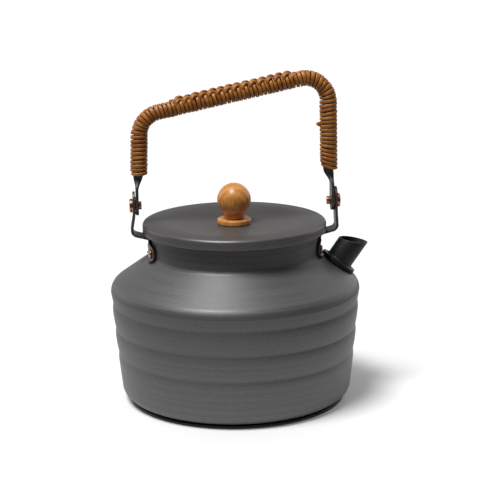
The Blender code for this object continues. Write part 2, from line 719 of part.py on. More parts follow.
def build_bail(parts, tools, material):
    line = bail_line(8)
    end = HINGE_HEIGHT - BAIL_TAB_HALF_WIDTH
    press_top = HINGE_HEIGHT + BAIL_PRESS_TOP
    points = [point for point in along(line, BAIL_TUBE_RADIUS)
              if HINGE_HEIGHT + BAIL_TAB_HALF_WIDTH / 3 < point.y < press_top
              or point in line and point.y >= press_top]
    ring = arc((0, HINGE_HEIGHT), BAIL_TAB_HALF_WIDTH, 0, -80, 5)
    tips = [height for across, height in ring] + [end]
    left = [Vector((-TAB_CENTRE, height)) for height in reversed(tips)]
    right = [Vector((TAB_CENTRE, height)) for height in tips]
    route = [(point.x, 0, point.y) for point in left + points + right]
    bail = tube_curve("bail_tube", route, BAIL_TUBE_RADIUS, 3, parts)
    press_ends(bail.data, line)
    for side, turn in SIDES.items():
        place = (Matrix.Translation((0, 0, HINGE_HEIGHT)) @ Matrix.Rotation(turn, 4, "Z")
                 @ Matrix.Rotation(math.pi / 2, 4, "Y") @ Matrix.Translation((0, 0, TAB_CENTRE)))
        cut(bail, cylinder_tool(f"tab_hole_{side}", HINGE_HOLE_RADIUS,
                                6 * BAIL_TAB_THICKNESS, place, tools, 20))
    bail.data.materials.append(material)
    smooth(bail)
    return bail


def cane_stations():
    """Short steps along the stretch of the bail that the cane covers."""
    fine = along(bail_line(60), CANE_PITCH / CANE_POINTS_PER_TURN)
    first = min(i for i, p in enumerate(fine) if p.y > HINGE_HEIGHT + CANE_LEFT_START)
    last = max(i for i, p in enumerate(fine) if p.y > HINGE_HEIGHT + CANE_RIGHT_END)
    return fine[first:last + 1]


def cane_pitch(before, here, after):
    """The pitch at a station, wider where a bend brings the turns together."""
    turn = (here - before).angle(after - here, 0.0)
    if turn < 1e-3:
        return CANE_PITCH
    bend = ((here - before).length + (after - here).length) / (2 * turn)
    least = (2 * CANE_RADIUS + CANE_LEAST_GAP) * bend / (bend - cane_reach())
    return max(CANE_PITCH, least)


def cane_reach():
    """Radius of the wound cane's middle, so that its chords clear the tube."""
    half_chord = math.cos(math.pi / CANE_POINTS_PER_TURN)
    return (BAIL_TUBE_RADIUS + TOUCH + CANE_RADIUS) / half_chord


def cane_pitches(stations):
    """A pitch for each station. A bend's wider pitch runs on past its two ends."""
    raw = []
    for i, here in enumerate(stations):
        before = stations[max(i - CANE_POINTS_PER_TURN, 0)]
        after = stations[min(i + CANE_POINTS_PER_TURN, len(stations) - 1)]
        raw.append(cane_pitch(before, here, after))
    spread = 2 * CANE_POINTS_PER_TURN
    return [max(raw[max(0, i - spread):i + spread + 1]) for i in range(len(raw))]


def cane_points():
    """One unbroken helix round the bail, with a set number of points a turn."""
    stations = cane_stations()
    pitches = cane_pitches(stations)
    reach = cane_reach()
    points = []
    turned_by = 0.0
    next_turn = 0.0
    for i in range(1, len(stations)):
        start, end = stations[i - 1], stations[i]
        length = (end - start).length
        gain = length / pitches[i]
        while next_turn <= turned_by + gain and length > 0:
            share = (next_turn - turned_by) / gain
            middle = start.lerp(end, share)
            ahead = (end - start).normalized()
            inward = Vector((ahead.y, 0, -ahead.x))
            angle = 2 * math.pi * next_turn
            offset = inward * math.cos(angle) + Vector((0, 1, 0)) * math.sin(angle)
            points.append(Vector((middle.x, 0, middle.y)) + offset * reach)
            next_turn += 1 / CANE_POINTS_PER_TURN
        turned_by += gain
    return points


def straight_ends(points, length):
    """Let each end of a run go on straight for a short length."""
    start = points[0] + (points[0] - points[1]).normalized() * length
    end = points[-1] + (points[-1] - points[-2]).normalized() * length
    return [start] + points + [end]


def least_gap(points, radius):
    """The least clear space between turns that are not next to each other."""
    apart = CANE_POINTS_PER_TURN // 2 + 1
    gap = 1.0
    for i, point in enumerate(points):
        for other in points[i + apart:i + 3 * CANE_POINTS_PER_TURN]:
            gap = min(gap, (point - other).length - 2 * radius)
    return gap


def build_cane(parts, material):
    points = straight_ends(cane_points(), 2 * CANE_RADIUS)
    cane = tube_curve("cane_wrap", points, CANE_RADIUS, 1, parts)
    cane.data.materials.append(material)
    smooth(cane, 70)
    turns = len(points) / CANE_POINTS_PER_TURN
    print(f"cane: {turns:.0f} turns, least gap {1000 * least_gap(points, CANE_RADIUS):.2f} mm")


def hang_on_axis(names):
    """Give the swinging pieces an empty on the hinge axis as their parent."""
    axis = bpy.data.objects.new("bail_axis", None)
    bpy.context.scene.collection.objects.link(axis)
    axis.location.z = HINGE_HEIGHT
    bpy.context.view_layer.update()
    for name in names:
        piece = bpy.data.objects[name]
        piece.parent = axis
        piece.matrix_parent_inverse = axis.matrix_world.inverted()


def main():
    clear_scene()
    parts = new_collection("camping_kettle")
    tools = new_collection("cutters")
    anodised = finish("anodised", (92, 91, 91), 0.45, 0.8)
    plate = finish("dark_plate", (52, 52, 54), 0.5, 0.8)
    copper = finish("copper", (196, 128, 92), 0.3, 1.0)
    brass = finish("brass", (196, 168, 96), 0.3, 1.0)
    steel = finish("steel", (150, 150, 152), 0.3, 1.0)
    rubber = finish("rubber", (26, 26, 27), 0.7, 0.0)
    black = finish("black_washer", (20, 20, 21), 0.5, 0.0)
    wood = finish("wood", (196, 140, 84), 0.45, 0.0)
    cane = finish("cane", (150, 84, 36), 0.5, 0.0)

    build_body(parts, tools, anodised)
    build_base(parts, plate)
    build_lid(parts, anodised)
    build_knob(parts, wood, brass, steel)
    build_spout(parts, tools, anodised, rubber)
    build_brackets(parts, tools, anodised)
    build_neck_rivets(parts, copper)
    build_hinges(parts, copper, black)
    build_bail(parts, tools, anodised)
    build_cane(parts, cane)
    hang_on_axis(["bail_tube", "cane_wrap"])


main()
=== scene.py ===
# %% [markdown]
# # A camping kettle with a cane-bound handle
# The kettle is a squat aluminium pot with three soft ribs, a stamped lid with a wooden knob, a
# short spout and a handle that swings on two copper pins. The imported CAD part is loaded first
# and stays as it is. Each cell then makes one piece over it, in metres and in the same frame.

# %% Load the frame
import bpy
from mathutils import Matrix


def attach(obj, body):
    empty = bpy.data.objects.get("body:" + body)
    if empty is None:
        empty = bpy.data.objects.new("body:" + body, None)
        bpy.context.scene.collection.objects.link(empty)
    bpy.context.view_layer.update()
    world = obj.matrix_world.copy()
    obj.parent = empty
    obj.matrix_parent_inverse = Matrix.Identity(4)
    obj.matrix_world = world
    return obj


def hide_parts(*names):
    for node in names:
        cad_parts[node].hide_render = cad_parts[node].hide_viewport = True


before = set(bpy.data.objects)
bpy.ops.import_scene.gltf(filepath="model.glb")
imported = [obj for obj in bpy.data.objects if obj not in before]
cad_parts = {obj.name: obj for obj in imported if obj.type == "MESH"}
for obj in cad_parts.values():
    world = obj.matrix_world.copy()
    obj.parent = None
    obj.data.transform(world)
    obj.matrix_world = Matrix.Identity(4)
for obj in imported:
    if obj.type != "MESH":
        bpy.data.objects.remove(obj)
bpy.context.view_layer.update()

# %% Modules, two units and new objects
import math
from bisect import bisect_right

import bmesh
import bpy
from mathutils import Matrix, Vector, noise

MM = 0.001
UP = Vector((0, 0, 1))


def new_object(name, data):
    """An object that shows some data, linked into the scene."""
    made = bpy.data.objects.new(name, data)
    bpy.context.scene.collection.objects.link(made)
    return made


# %% [markdown]
# ## Camera
# The photograph looks down on the kettle by about 14 degrees, through a long lens, and a little
# from the left. A camera looks along its own -Z. So the line of sight is turned into a
# rotation first, and the small tilt of the picture is a turn about that line.

# %% Camera
CAMERA_PLACE = Vector((-66.7, -972.8, 333.6)) * MM
LINE_OF_SIGHT = Vector((0.0762, 0.9686, -0.2367))
PICTURE_TILT = math.radians(-0.70)
FOCAL_LENGTH = 112.5  # mm, on a sensor 36 mm wide

lens = bpy.data.cameras.new("studio_camera")
lens.lens = FOCAL_LENGTH
lens.sensor_width = 36.0
lens.clip_start = 0.01
camera = new_object("studio_camera", lens)
aim = LINE_OF_SIGHT.to_track_quat("-Z", "Y").to_matrix().to_4x4()
camera.matrix_world = (Matrix.Translation(CAMERA_PLACE) @ aim
                       @ Matrix.Rotation(PICTURE_TILT, 4, "Z"))
bpy.context.scene.camera = camera
bpy.context.scene.view_settings.view_transform = "Standard"
print("camera stands", round(CAMERA_PLACE.length, 3), "m from the middle of the base")

# %% [markdown]
# ## Colours and nodes
# Colours are written as sRGB hex values, as a picker shows them, and a shader wants linear
# light. One function turns them. Another adds a node, sets its fields and fills its sockets,
# so a material reads as a list of what goes into what. A noise texture's values lie mostly
# between 0.3 and 0.7, so a Map Range node often widens them before they mix two colours.

# %% Helpers for materials
def colour(code):
    """A hex colour as the linear values that a shader takes."""
    channels = [int(code[i:i + 2], 16) / 255 for i in (1, 3, 5)]
    return [c / 12.92 if c <= 0.04045 else ((c + 0.055) / 1.055) ** 2.4 for c in channels] + [1]


def set_sockets(tree, node, sockets):
    """Give each socket of a node a value, or a link from an output or a node's only result."""
    for socket, value in sockets.items():
        if isinstance(value, bpy.types.Node):
            value = next(output for output in value.outputs if output.enabled)
        if isinstance(value, bpy.types.NodeSocket):
            tree.links.new(value, node.inputs[socket])
        else:
            node.inputs[socket].default_value = value


def add_node(tree, kind, sockets=None, **fields):
    """A new shader node of a kind, with its fields set and its sockets filled."""
    made = tree.nodes.new("ShaderNode" + kind)
    for field, value in fields.items():
        setattr(made, field, value)
    set_sockets(tree, made, sockets or {})
    return made


def new_material(name):
    """A material, its node tree and its shader, which is already joined to the output."""
    material = bpy.data.materials.new(name)
    material.use_nodes = True
    return material, material.node_tree, material.node_tree.nodes["Principled BSDF"]


print("a mid grey in linear light:", [round(c, 3) for c in colour("#777777")])

# %% [markdown]
# ## Floor
# The kettle stands on a matt white studio floor that runs out of the picture on all sides. Its
# satin side mirrors the floor in front of it, so the paint is white near the kettle and fades to
# dark further off, to the front and to the sides, as a sheet of paper on a dark table would.
# The camera must not see that, so the light that a darker place lacks is given back to the
# direct view alone, with a little more, which makes the floor pure white and keeps the shadow.

# %% Floor
FLOOR_SIZE = 60.0
FLOOR_WHITE = 0.80
FLOOR_DARK = 0.05
WHITE_UNTIL = 0.04     # metres from the kettle's middle
WHITE_GONE = 0.47
SIDE_SHARE = 0.8       # a metre to the side fades the white as 0.8 m to the front does
LIGHT_ON_FLOOR = 1.15  # of lamp and room together
FLOOR_LIFT = 0.11

studio_white, tree, shader = new_material("studio_white_paint")
sight = add_node(tree, "LightPath").outputs
mirrored = add_node(tree, "Math", {0: sight["Is Glossy Ray"], 1: sight["Is Transmission Ray"]},
                    operation="MAXIMUM")
spot = add_node(tree, "TexCoord").outputs["Object"]
# the lesser of y and 0, so that behind the kettle only the way to the side counts
front = add_node(tree, "VectorMath", {0: spot, 1: (FLOOR_SIZE, 0, 0)}, operation="MINIMUM")
front = add_node(tree, "VectorMath", {0: front, 1: (SIDE_SHARE, 1, 0)}, operation="MULTIPLY")
reach = add_node(tree, "VectorMath", {0: front}, operation="LENGTH")
near = add_node(tree, "MapRange", {"Value": reach, "From Min": WHITE_GONE, "From Max": WHITE_UNTIL},
                interpolation_type="SMOOTHSTEP")
white = add_node(tree, "MapRange", {"Value": near, "To Min": FLOOR_DARK, "To Max": FLOOR_WHITE})
missing = add_node(tree, "Math",
                   {0: white, 1: -LIGHT_ON_FLOOR, 2: FLOOR_WHITE * LIGHT_ON_FLOOR + FLOOR_LIFT},
                   operation="MULTIPLY_ADD")
direct = add_node(tree, "Math", {0: sight["Is Camera Ray"], 1: missing}, operation="MULTIPLY")
glow = add_node(tree, "Math", {0: mirrored, 1: near}, operation="MULTIPLY")
lift = add_node(tree, "Math", {0: glow, 1: FLOOR_LIFT, 2: direct}, operation="MULTIPLY_ADD")
paint = add_node(tree, "CombineColor", {0: white, 1: white, 2: white})
set_sockets(tree, shader, {"Base Color": paint, "Roughness": 0.9, "Specular IOR Level": 0.0,
                           "Emission Color": colour("#ffffff"), "Emission Strength": lift})

ground = bmesh.new()
bmesh.ops.create_grid(ground, x_segments=1, y_segments=1, size=FLOOR_SIZE / 2)
floor_mesh = bpy.data.meshes.new("studio_floor")
ground.to_mesh(floor_mesh)
ground.free()
floor_mesh.materials.append(studio_white)
floor = new_object("studio_floor", floor_mesh)
print("floor", FLOOR_SIZE, "m across")

# %% [markdown]
# ## Room and lamp
# One broad lamp hangs high at the left front, which is where the shadow points from. Satin
# metal shows the room round it as much as the lamp, so the room isn't one grey: it is dim, with
# a soft ceiling, a low pale backdrop behind the kettle and a pale card behind it at either side.
# Each is painted into the world by the direction of a ray, which needs no mesh.

# %% Room and lamp
TOWARD_LAMP = Vector((-0.27, -0.25, 0.93))
LAMP_LEVEL = 3.0
LAMP_SPREAD = math.radians(21)
ROOM_DARK = 0.04
CEILING = 0.36
CEILING_POWER = 4  # the higher, the more the ceiling's light gathers overhead
BACKDROP = 0.60
SIDE_CARDS = 0.80
# light of each card, and two directions with where along them it starts and where it is full
CARDS = ((BACKDROP, ("back", 0.0, 0.6), ("up", 0.32, 0.20)),
         (SIDE_CARDS, ("right", -0.25, -0.60), ("back", 0.0, 0.45)),
         (SIDE_CARDS, ("right", 0.10, 0.45), ("back", 0.0, 0.45)))

room = bpy.data.worlds.new("studio_room")
bpy.context.scene.world = room
room.use_nodes = True
tree = room.node_tree
look = add_node(tree, "TexCoord").outputs["Generated"]
look = add_node(tree, "SeparateXYZ", {0: look}).outputs
upward = add_node(tree, "Math", {0: look["Z"], 1: 0.0}, operation="MAXIMUM")
ways = {"right": look["X"], "back": look["Y"], "up": upward}
overhead = add_node(tree, "Math", {0: upward, 1: CEILING_POWER}, operation="POWER")
level = add_node(tree, "Math", {0: overhead, 1: CEILING, 2: ROOM_DARK}, operation="MULTIPLY_ADD")
for light, first, second in CARDS:
    shares = [add_node(tree, "MapRange",
                       {"Value": ways[way], "From Min": start, "From Max": full, "To Max": most},
                       interpolation_type="SMOOTHSTEP")
              for (way, start, full), most in ((first, light), (second, 1.0))]
    level = add_node(tree, "Math", {0: shares[0], 1: shares[1], 2: level}, operation="MULTIPLY_ADD")
set_sockets(tree, tree.nodes["Background"], {"Color": (1, 1, 1, 1), "Strength": level})

sun = bpy.data.lights.new("broad_lamp", "SUN")
sun.energy = LAMP_LEVEL
sun.angle = LAMP_SPREAD
lamp = new_object("broad_lamp", sun)
lamp.rotation_euler = TOWARD_LAMP.to_track_quat("Z", "Y").to_euler()
print("lamp stands", round(math.degrees(math.asin(TOWARD_LAMP.normalized().z))), "degrees high")

# %% [markdown]
# ## Helpers for shapes
# Most pieces here are turned or pressed. Their outline is drawn as a few corners, each with the
# radius of its rounding, and a bmesh spin turns it round. A wound or bent piece is made
# straight along Z first and is then bent along a line, as a maker would bend it.

# %% Drawing and turning outlines
SAME_POINT = 0.001 * MM  # points nearer than this are one


def rounded_line(corners, closed=False, quarter=8):
    """Points of a line through (across, up, round) corners, with an arc at each round one."""
    points = []
    count = len(corners)
    for i, (across, up, radius) in enumerate(corners):
        corner = Vector((across, up))
        if radius == 0 or not closed and i in (0, count - 1):
            points.append(corner)
            continue
        back = (Vector(corners[i - 1][:2]) - corner).normalized()
        ahead = (Vector(corners[(i + 1) % count][:2]) - corner).normalized()
        half = back.angle(ahead) / 2
        middle = corner + (back + ahead).normalized() * radius / math.sin(half)
        start = corner + back * radius / math.tan(half) - middle
        end = corner + ahead * radius / math.tan(half) - middle
        sweep = start.angle_signed(end)
        pieces = max(2, round(quarter * abs(sweep) / (math.pi / 2)))
        points += [middle + Matrix.Rotation(-sweep * k / pieces, 2) @ start
                   for k in range(pieces + 1)]
    return points


def arc(middle, radius, start, end, pieces):
    """Points along an arc, its angles in degrees."""
    angles = [math.radians(start + (end - start) * k / pieces) for k in range(pieces + 1)]
    return [Vector((middle[0] + radius * math.cos(a), middle[1] + radius * math.sin(a)))
            for a in angles]


def disc_line(hole, radius, low, high, edge, quarter=8):
    """Outline of a flat disc between two levels, from its hole out, with round outer edges."""
    corners = [(hole, high, 0), (radius, high, edge), (radius, low, edge), (hole, low, 0)]
    return rounded_line(corners, quarter=quarter)


def heading(line, i):
    """The direction of a line at one of its points."""
    return (line[min(i + 1, len(line) - 1)] - line[max(i - 1, 0)]).normalized()


def held(value):
    """A value held between 0 and 1."""
    return min(max(value, 0), 1)


def all_of(shape):
    """Every vertex, edge and face of a bmesh, as its operators ask for them."""
    return shape.verts[:] + shape.edges[:] + shape.faces[:]


def spun(line, steps, closed=False, place=None):
    """A bmesh of an outline turned once round Z, with its pole and its seam closed.

    An eighth is spun, and copies of it make the rest, which is quicker than one long spin.
    """
    shape = bmesh.new()
    corners = [shape.verts.new((radius, 0, height)) for radius, height in line]
    ends = corners[1:] + corners[:1] if closed else corners[1:]
    edges = [shape.edges.new(pair) for pair in zip(corners, ends)]
    eighth = math.tau / 8
    bmesh.ops.spin(shape, geom=corners + edges, axis=UP, angle=eighth, steps=steps // 8)
    bmesh.ops.spin(shape, geom=all_of(shape), axis=UP, angle=7 * eighth, steps=7,
                   use_duplicate=True)
    bmesh.ops.remove_doubles(shape, verts=shape.verts, dist=SAME_POINT)
    bmesh.ops.recalc_face_normals(shape, faces=shape.faces)
    if place:
        bmesh.ops.transform(shape, matrix=place, verts=shape.verts)
    return shape


def add_piece(name, shape, material, body, stands_for=(), crease=35):
    """Make a bmesh a piece that rides on a body and stands for CAD nodes."""
    mesh = bpy.data.meshes.new(name)
    shape.to_mesh(mesh)
    shape.free()
    mesh.materials.append(material)
    mesh.shade_smooth()
    mesh.set_sharp_from_angle(angle=math.radians(crease))
    piece = new_object(name, mesh)
    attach(piece, body)
    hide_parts(*stands_for)
    sides = [round(v / MM, 1) for v in piece.dimensions]
    print(f"{name}: {len(mesh.polygons)} faces, {sides} mm")


print("a quarter round of 2 mm has", len(arc((0, 0), 2 * MM, 0, 90, 8)), "points")

# %% [markdown]
# ## Turned and anodised aluminium
# The pot is drawn and spun, so a tool has left fine rings round it, and then it is hard anodised:
# an acid bath grows a grey oxide layer in the metal itself. The layer is a little rough, so the
# pot shines softly and without a mirror image, and its grain shows as a faint speckle. The lid
# was turned more finely, so it is glossier, and its highlight is stretched across the rings.

# %% Turned and anodised aluminium
GRAIN = 0.9 * MM         # the real grain is near 0.1 mm and is drawn coarser, so that it shows
TURNED_RING = 1.6 * MM   # the tool's rings, near 0.3 mm, are drawn coarser too
RINGS_TO_GRAIN = 1.2
ACROSS_THE_RINGS = 0.25  # of a full turn
LAYER_RELIEF = 0.02 * MM

turned = {}
for name, low, high, metal, smooth, rough, stretch, bite in (
        ("hard_anodised_pot", "#605f5f", "#706f6f", 0.66, 0.46, 0.58, 0.12, 0.06),
        ("hard_anodised_lid", "#646261", "#747271", 0.70, 0.42, 0.49, 0.30, 0.05)):
    turned[name], tree, shader = new_material(name)
    spot = add_node(tree, "TexCoord").outputs["Object"]
    grain = add_node(tree, "TexNoise", {"Vector": spot, "Scale": 1 / GRAIN, "Detail": 2.0})
    flat = add_node(tree, "VectorMath", {0: spot, 1: (1, 1, 0)}, operation="MULTIPLY")
    reach = add_node(tree, "VectorMath", {0: flat}, operation="LENGTH")
    height = add_node(tree, "SeparateXYZ", {0: spot}).outputs["Z"]
    ring_place = add_node(tree, "CombineXYZ", {"X": reach, "Y": height})
    rings = add_node(tree, "TexNoise", {"Vector": ring_place, "Detail": 3.0,
                                        "Scale": 1 / TURNED_RING})
    speckle = add_node(tree, "Math", {0: rings, 1: RINGS_TO_GRAIN, 2: grain},
                       operation="MULTIPLY_ADD")
    mixed = add_node(tree, "MapRange", {"Value": speckle, "From Min": 0.80, "From Max": 1.40})
    oxide = add_node(tree, "Mix", {0: mixed, 6: colour(low), 7: colour(high)}, data_type="RGBA")
    worn = add_node(tree, "MapRange", {"Value": rings, "From Min": 0.3, "From Max": 0.7,
                                       "To Min": smooth, "To Max": rough})
    relief = add_node(tree, "Bump", {"Height": speckle, "Strength": bite, "Distance": LAYER_RELIEF})
    lay = add_node(tree, "Tangent", direction_type="RADIAL", axis="Z")
    set_sockets(tree, shader, {"Base Color": oxide, "Metallic": metal, "Roughness": worn,
                               "Anisotropic": stretch, "Anisotropic Rotation": ACROSS_THE_RINGS,
                               "Normal": relief, "Tangent": lay})
anodised, anodised_lid = turned.values()
print("turned finishes:", ", ".join(turned))

# %% [markdown]
# ## Plain anodised aluminium
# The handle and its brackets are bent from tube and sheet that no lathe has touched, so they
# have the oxide layer without the rings. The spout has the same layer, dyed nearly black before
# it is sealed. The base is given that near-black colour as painted shade, the shade under the
# foot. Only the grain is left, in the colour, gloss and relief.

# %% Plain anodised aluminium
GLOSS_SPREAD = 0.05  # how far the roughness strays to either side of its middle

plain = {}
for name, low, high, rough, metal in (
        ("anodised_handle_metal", "#4e4c4a", "#625f5c", 0.46, 0.7),
        # near black: the spout's dye, and on the base painted shade under the foot
        ("black_anodised_and_painted_base_shade", "#272526", "#322f30", 0.5, 0.5)):
    plain[name], tree, shader = new_material(name)
    spot = add_node(tree, "TexCoord").outputs["Object"]
    grain = add_node(tree, "TexNoise", {"Vector": spot, "Scale": 1 / GRAIN, "Detail": 2.0})
    mixed = add_node(tree, "MapRange", {"Value": grain, "From Min": 0.35, "From Max": 0.65})
    oxide = add_node(tree, "Mix", {0: mixed, 6: colour(low), 7: colour(high)}, data_type="RGBA")
    worn = add_node(tree, "MapRange", {"Value": grain, "To Min": rough - GLOSS_SPREAD,
                                       "To Max": rough + GLOSS_SPREAD})
    relief = add_node(tree, "Bump", {"Height": grain, "Strength": 0.2, "Distance": LAYER_RELIEF})
    set_sockets(tree, shader, {"Base Color": oxide, "Metallic": metal, "Roughness": worn,
                               "Normal": relief})
anodised_plain, black_anodised_and_base_shade = plain.values()
print("grain drawn at", GRAIN / MM, "mm")

# %% [markdown]
# ## Rubber, copper, brass and steel
# The seal and the washers are black silicone, moulded and dusty. The rivets are drawn copper
# wire with pressed heads: bright metal with a little brown tarnish in patches. Under the knob,
# an insert is turned from brass, and the screw and its washer are zinc-plated steel.

# %% Rubber and small metals
PATCH = 1.2 * MM      # tarnish and press marks on a rivet head
DUST = 0.6 * MM
TOOL_MARK = 0.4 * MM
MARK_RELIEF = 0.05 * MM

small = {}
for name, low, high, metal, smooth, rough, size in (
        ("black_silicone_rubber", "#121212", "#1e1d1d", 0.0, 0.5, 0.7, DUST),
        ("hammered_copper", "#b06c4c", "#dc9c78", 1.0, 0.22, 0.36, PATCH),
        ("turned_brass", "#a8843c", "#c9a657", 1.0, 0.25, 0.38, TOOL_MARK),
        ("zinc_plated_steel", "#8c8d90", "#b2b3b6", 1.0, 0.28, 0.42, TOOL_MARK)):
    small[name], tree, shader = new_material(name)
    spot = add_node(tree, "TexCoord").outputs["Object"]
    cloud = add_node(tree, "TexNoise", {"Vector": spot, "Scale": 1 / size, "Detail": 3.0})
    mixed = add_node(tree, "MapRange", {"Value": cloud, "From Min": 0.35, "From Max": 0.6})
    tint = add_node(tree, "Mix", {0: mixed, 6: colour(low), 7: colour(high)}, data_type="RGBA")
    polish = add_node(tree, "MapRange", {"Value": mixed, "To Min": rough, "To Max": smooth})
    relief = add_node(tree, "Bump", {"Height": cloud, "Strength": 0.3, "Distance": MARK_RELIEF})
    set_sockets(tree, shader, {"Base Color": tint, "Metallic": metal, "Roughness": polish,
                               "Normal": relief})
rubber, copper, brass, steel = small.values()
print("small finishes:", ", ".join(small))

# %% [markdown]
# ## Oiled wood
# The knob is turned from a straight stick of an open-grained wood and rubbed with oil. Growth
# rings are near cylinders round the tree's heart, which lies in front of the knob, so the lathe
# has cut them to arches on its front. Fine dark pores run up the stick, and oil gives it a
# warm satin gloss.

# %% Oiled wood
RING_SPACING = 4.2 * MM
WAVE_RADIANS = 20        # a wave texture runs this far in one unit, at a scale of 1
PORE_WIDTH = 0.5 * MM    # real pores are near 0.2 mm, drawn coarser to show
PORE_STRETCH = 0.06
PORE_DEPTH = -0.08 * MM
KNOB_CENTRE = Vector((0, 0, 129)) * MM
HEART = Vector((3, 38, 0)) * MM
STICK_LEAN = math.radians(-20)

wood, tree, shader = new_material("oiled_open_grained_wood")
spot = add_node(tree, "TexCoord").outputs["Object"]
middle = add_node(tree, "VectorMath", {0: spot, 1: KNOB_CENTRE}, operation="SUBTRACT")
stick = add_node(tree, "Mapping",
                 {"Vector": middle, "Location": HEART, "Rotation": (STICK_LEAN, 0, 0)})
growth = add_node(tree, "TexWave",
                  {"Vector": stick, "Scale": math.tau / (WAVE_RADIANS * RING_SPACING),
                   "Distortion": 1.6, "Detail": 2.0, "Detail Scale": 0.8},
                  wave_type="RINGS", rings_direction="Z").outputs["Fac"]
drawn = add_node(tree, "Mapping", {"Vector": spot, "Scale": (1, 1, PORE_STRETCH)})
pores = add_node(tree, "TexNoise", {"Vector": drawn, "Scale": 1 / PORE_WIDTH, "Detail": 3.0})
open_pores = add_node(tree, "MapRange", {"Value": pores, "From Min": 0.46, "From Max": 0.64,
                                         "To Max": 0.65})
ringed = add_node(tree, "Mix", {0: growth, 6: colour("#d88c40"), 7: colour("#eaa659")},
                  data_type="RGBA")
grained = add_node(tree, "Mix", {0: open_pores, 6: ringed, 7: colour("#9c5e22")}, data_type="RGBA")
relief = add_node(tree, "Bump", {"Height": pores, "Strength": 0.3, "Distance": PORE_DEPTH})
set_sockets(tree, shader, {"Base Color": grained, "Roughness": 0.42, "Coat Weight": 0.25,
                           "Coat Roughness": 0.22, "Normal": relief})
print("growth rings", round(RING_SPACING / MM, 1), "mm apart")

# %% [markdown]
# ## Cane
# Cane is the split skin of rattan, stained brown and waxed. Its fibres run along the strip, so
# the streaks follow two values that each strip carries: how far along and how far across it a
# point is. Each turn takes the stain a little differently. The edges, where the skin is cut, are
# painted darker: painted shade of the gaps between the turns.

# %% Cane
FIBRE_LENGTH = 7 * MM
FIBRES_ACROSS = 2.2
STAIN_LENGTH = 24 * MM
FIBRE_RELIEF = 0.08 * MM

cane, tree, shader = new_material("stained_rattan_cane")
along = add_node(tree, "Attribute", attribute_name="along").outputs["Fac"]
across = add_node(tree, "Attribute", attribute_name="across").outputs["Fac"]
lengthwise = add_node(tree, "Math", {0: along, 1: FIBRE_LENGTH}, operation="DIVIDE")
sidewise = add_node(tree, "Math", {0: across, 1: FIBRES_ACROSS}, operation="MULTIPLY")
fibre_place = add_node(tree, "CombineXYZ", {"X": lengthwise, "Y": sidewise})
fibres = add_node(tree, "TexNoise", {"Vector": fibre_place, "Scale": 2.0, "Detail": 3.0})
patch_place = add_node(tree, "Math", {0: along, 1: STAIN_LENGTH}, operation="DIVIDE")
patches = add_node(tree, "TexNoise", {"W": patch_place, "Scale": 1.5, "Detail": 1.0},
                   noise_dimensions="1D")
streaks = add_node(tree, "MapRange", {"Value": fibres, "From Min": 0.3, "From Max": 0.7})
stain = add_node(tree, "MapRange", {"Value": patches, "From Min": 0.3, "From Max": 0.7})
skin = add_node(tree, "Mix", {0: stain, 6: colour("#b46a24"), 7: colour("#e09a42")},
                data_type="RGBA")
fibred = add_node(tree, "Mix", {0: streaks, 6: colour("#8e4c10"), 7: skin}, data_type="RGBA")
# painted shade: each strip darkens towards its edges, for the shade in the gaps between turns
edge = add_node(tree, "Math", {0: across}, operation="ABSOLUTE")
edge = add_node(tree, "MapRange", {"Value": edge, "From Min": 0.72, "From Max": 1.0,
                                   "To Max": 0.85})
gap_shaded = add_node(tree, "Mix", {0: edge, 6: fibred, 7: colour("#4a2408")}, data_type="RGBA")
relief = add_node(tree, "Bump", {"Height": fibres, "Strength": 0.35, "Distance": FIBRE_RELIEF})
set_sockets(tree, shader, {"Base Color": gap_shaded, "Roughness": 0.42, "Normal": relief})
print("stain changes over", STAIN_LENGTH / MM, "mm of cane")

# %% [markdown]
# ## Body
# A body like this is deep drawn from one disc of aluminium, and its ribs are rolled into the
# side. Every level of it is a circle, so it is one outline turned round Z: up the inside, over
# the rolled rim, and down the outside. The wall is part of the outline, and needs no Solidify.

# %% Sizes of the body
WALL = 1.2 * MM
TOUCH = 0.3 * MM
BODY_RADIUS = 80.0 * MM
SHOULDER_HEIGHT = 71.7 * MM
SHOULDER_ROUND = 8.1 * MM
CONE_DEGREES = 35
SHOULDER_SLOPE = math.radians(CONE_DEGREES)
NECK_RADIUS = 53.6 * MM
NECK_FILLET = 4.5 * MM
NECK_LENGTH = 19.5 * MM
RIM_BEAD = 2.3 * MM
FOOT_RADIUS = 74.3 * MM
FLOOR_HEIGHT = 2.3 * MM
FLOOR_ROUND = 8.0 * MM
SIDE_BULGE = 0.4 * MM
RIB_VALLEYS = (64.3 * MM, 48.05 * MM, 31.8 * MM)
RIB_DEPTH = 0.8 * MM
RIB_RISE = 5.6 * MM
RIB_FALL = 10.5 * MM
BODY_STEPS = 192

slope = math.tan(SHOULDER_SLOPE)
cone_wide = BODY_RADIUS - SHOULDER_ROUND * (1 - math.sin(SHOULDER_SLOPE))
cone_wide_height = SHOULDER_HEIGHT + SHOULDER_ROUND * math.cos(SHOULDER_SLOPE)
neck_foot = cone_wide_height + (cone_wide - NECK_RADIUS) * slope
rim_height = neck_foot + NECK_LENGTH
print(f"neck starts at {neck_foot / MM:.1f} mm and its rim is at {rim_height / MM:.1f} mm")


def side_radius(height):
    """The tapered side with its ribs: each swells down to a valley and springs out below it."""
    low = FLOOR_HEIGHT + FLOOR_ROUND
    share = (height - low) / (SHOULDER_HEIGHT - low)
    radius = FOOT_RADIUS + (BODY_RADIUS - FOOT_RADIUS) * share
    radius += 4 * SIDE_BULGE * share * (1 - share)
    for valley in RIB_VALLEYS:
        above = height - valley
        if 0 <= above < RIB_FALL:
            radius -= RIB_DEPTH * (1 - above / RIB_FALL) ** 2
        elif -RIB_RISE < above < 0:
            radius -= RIB_DEPTH * (1 + above / RIB_RISE) ** 2
    return radius


def beside(line, distance):
    """The line moved to its left by a distance, such as the inside of a wall."""
    moved = []
    for i, point in enumerate(line):
        way = heading(line, i)
        moved.append(Vector((point.x - way.y * distance, point.y + way.x * distance)))
    return moved


# %% Turn the body
SIDE_STEP = 0.7 * MM

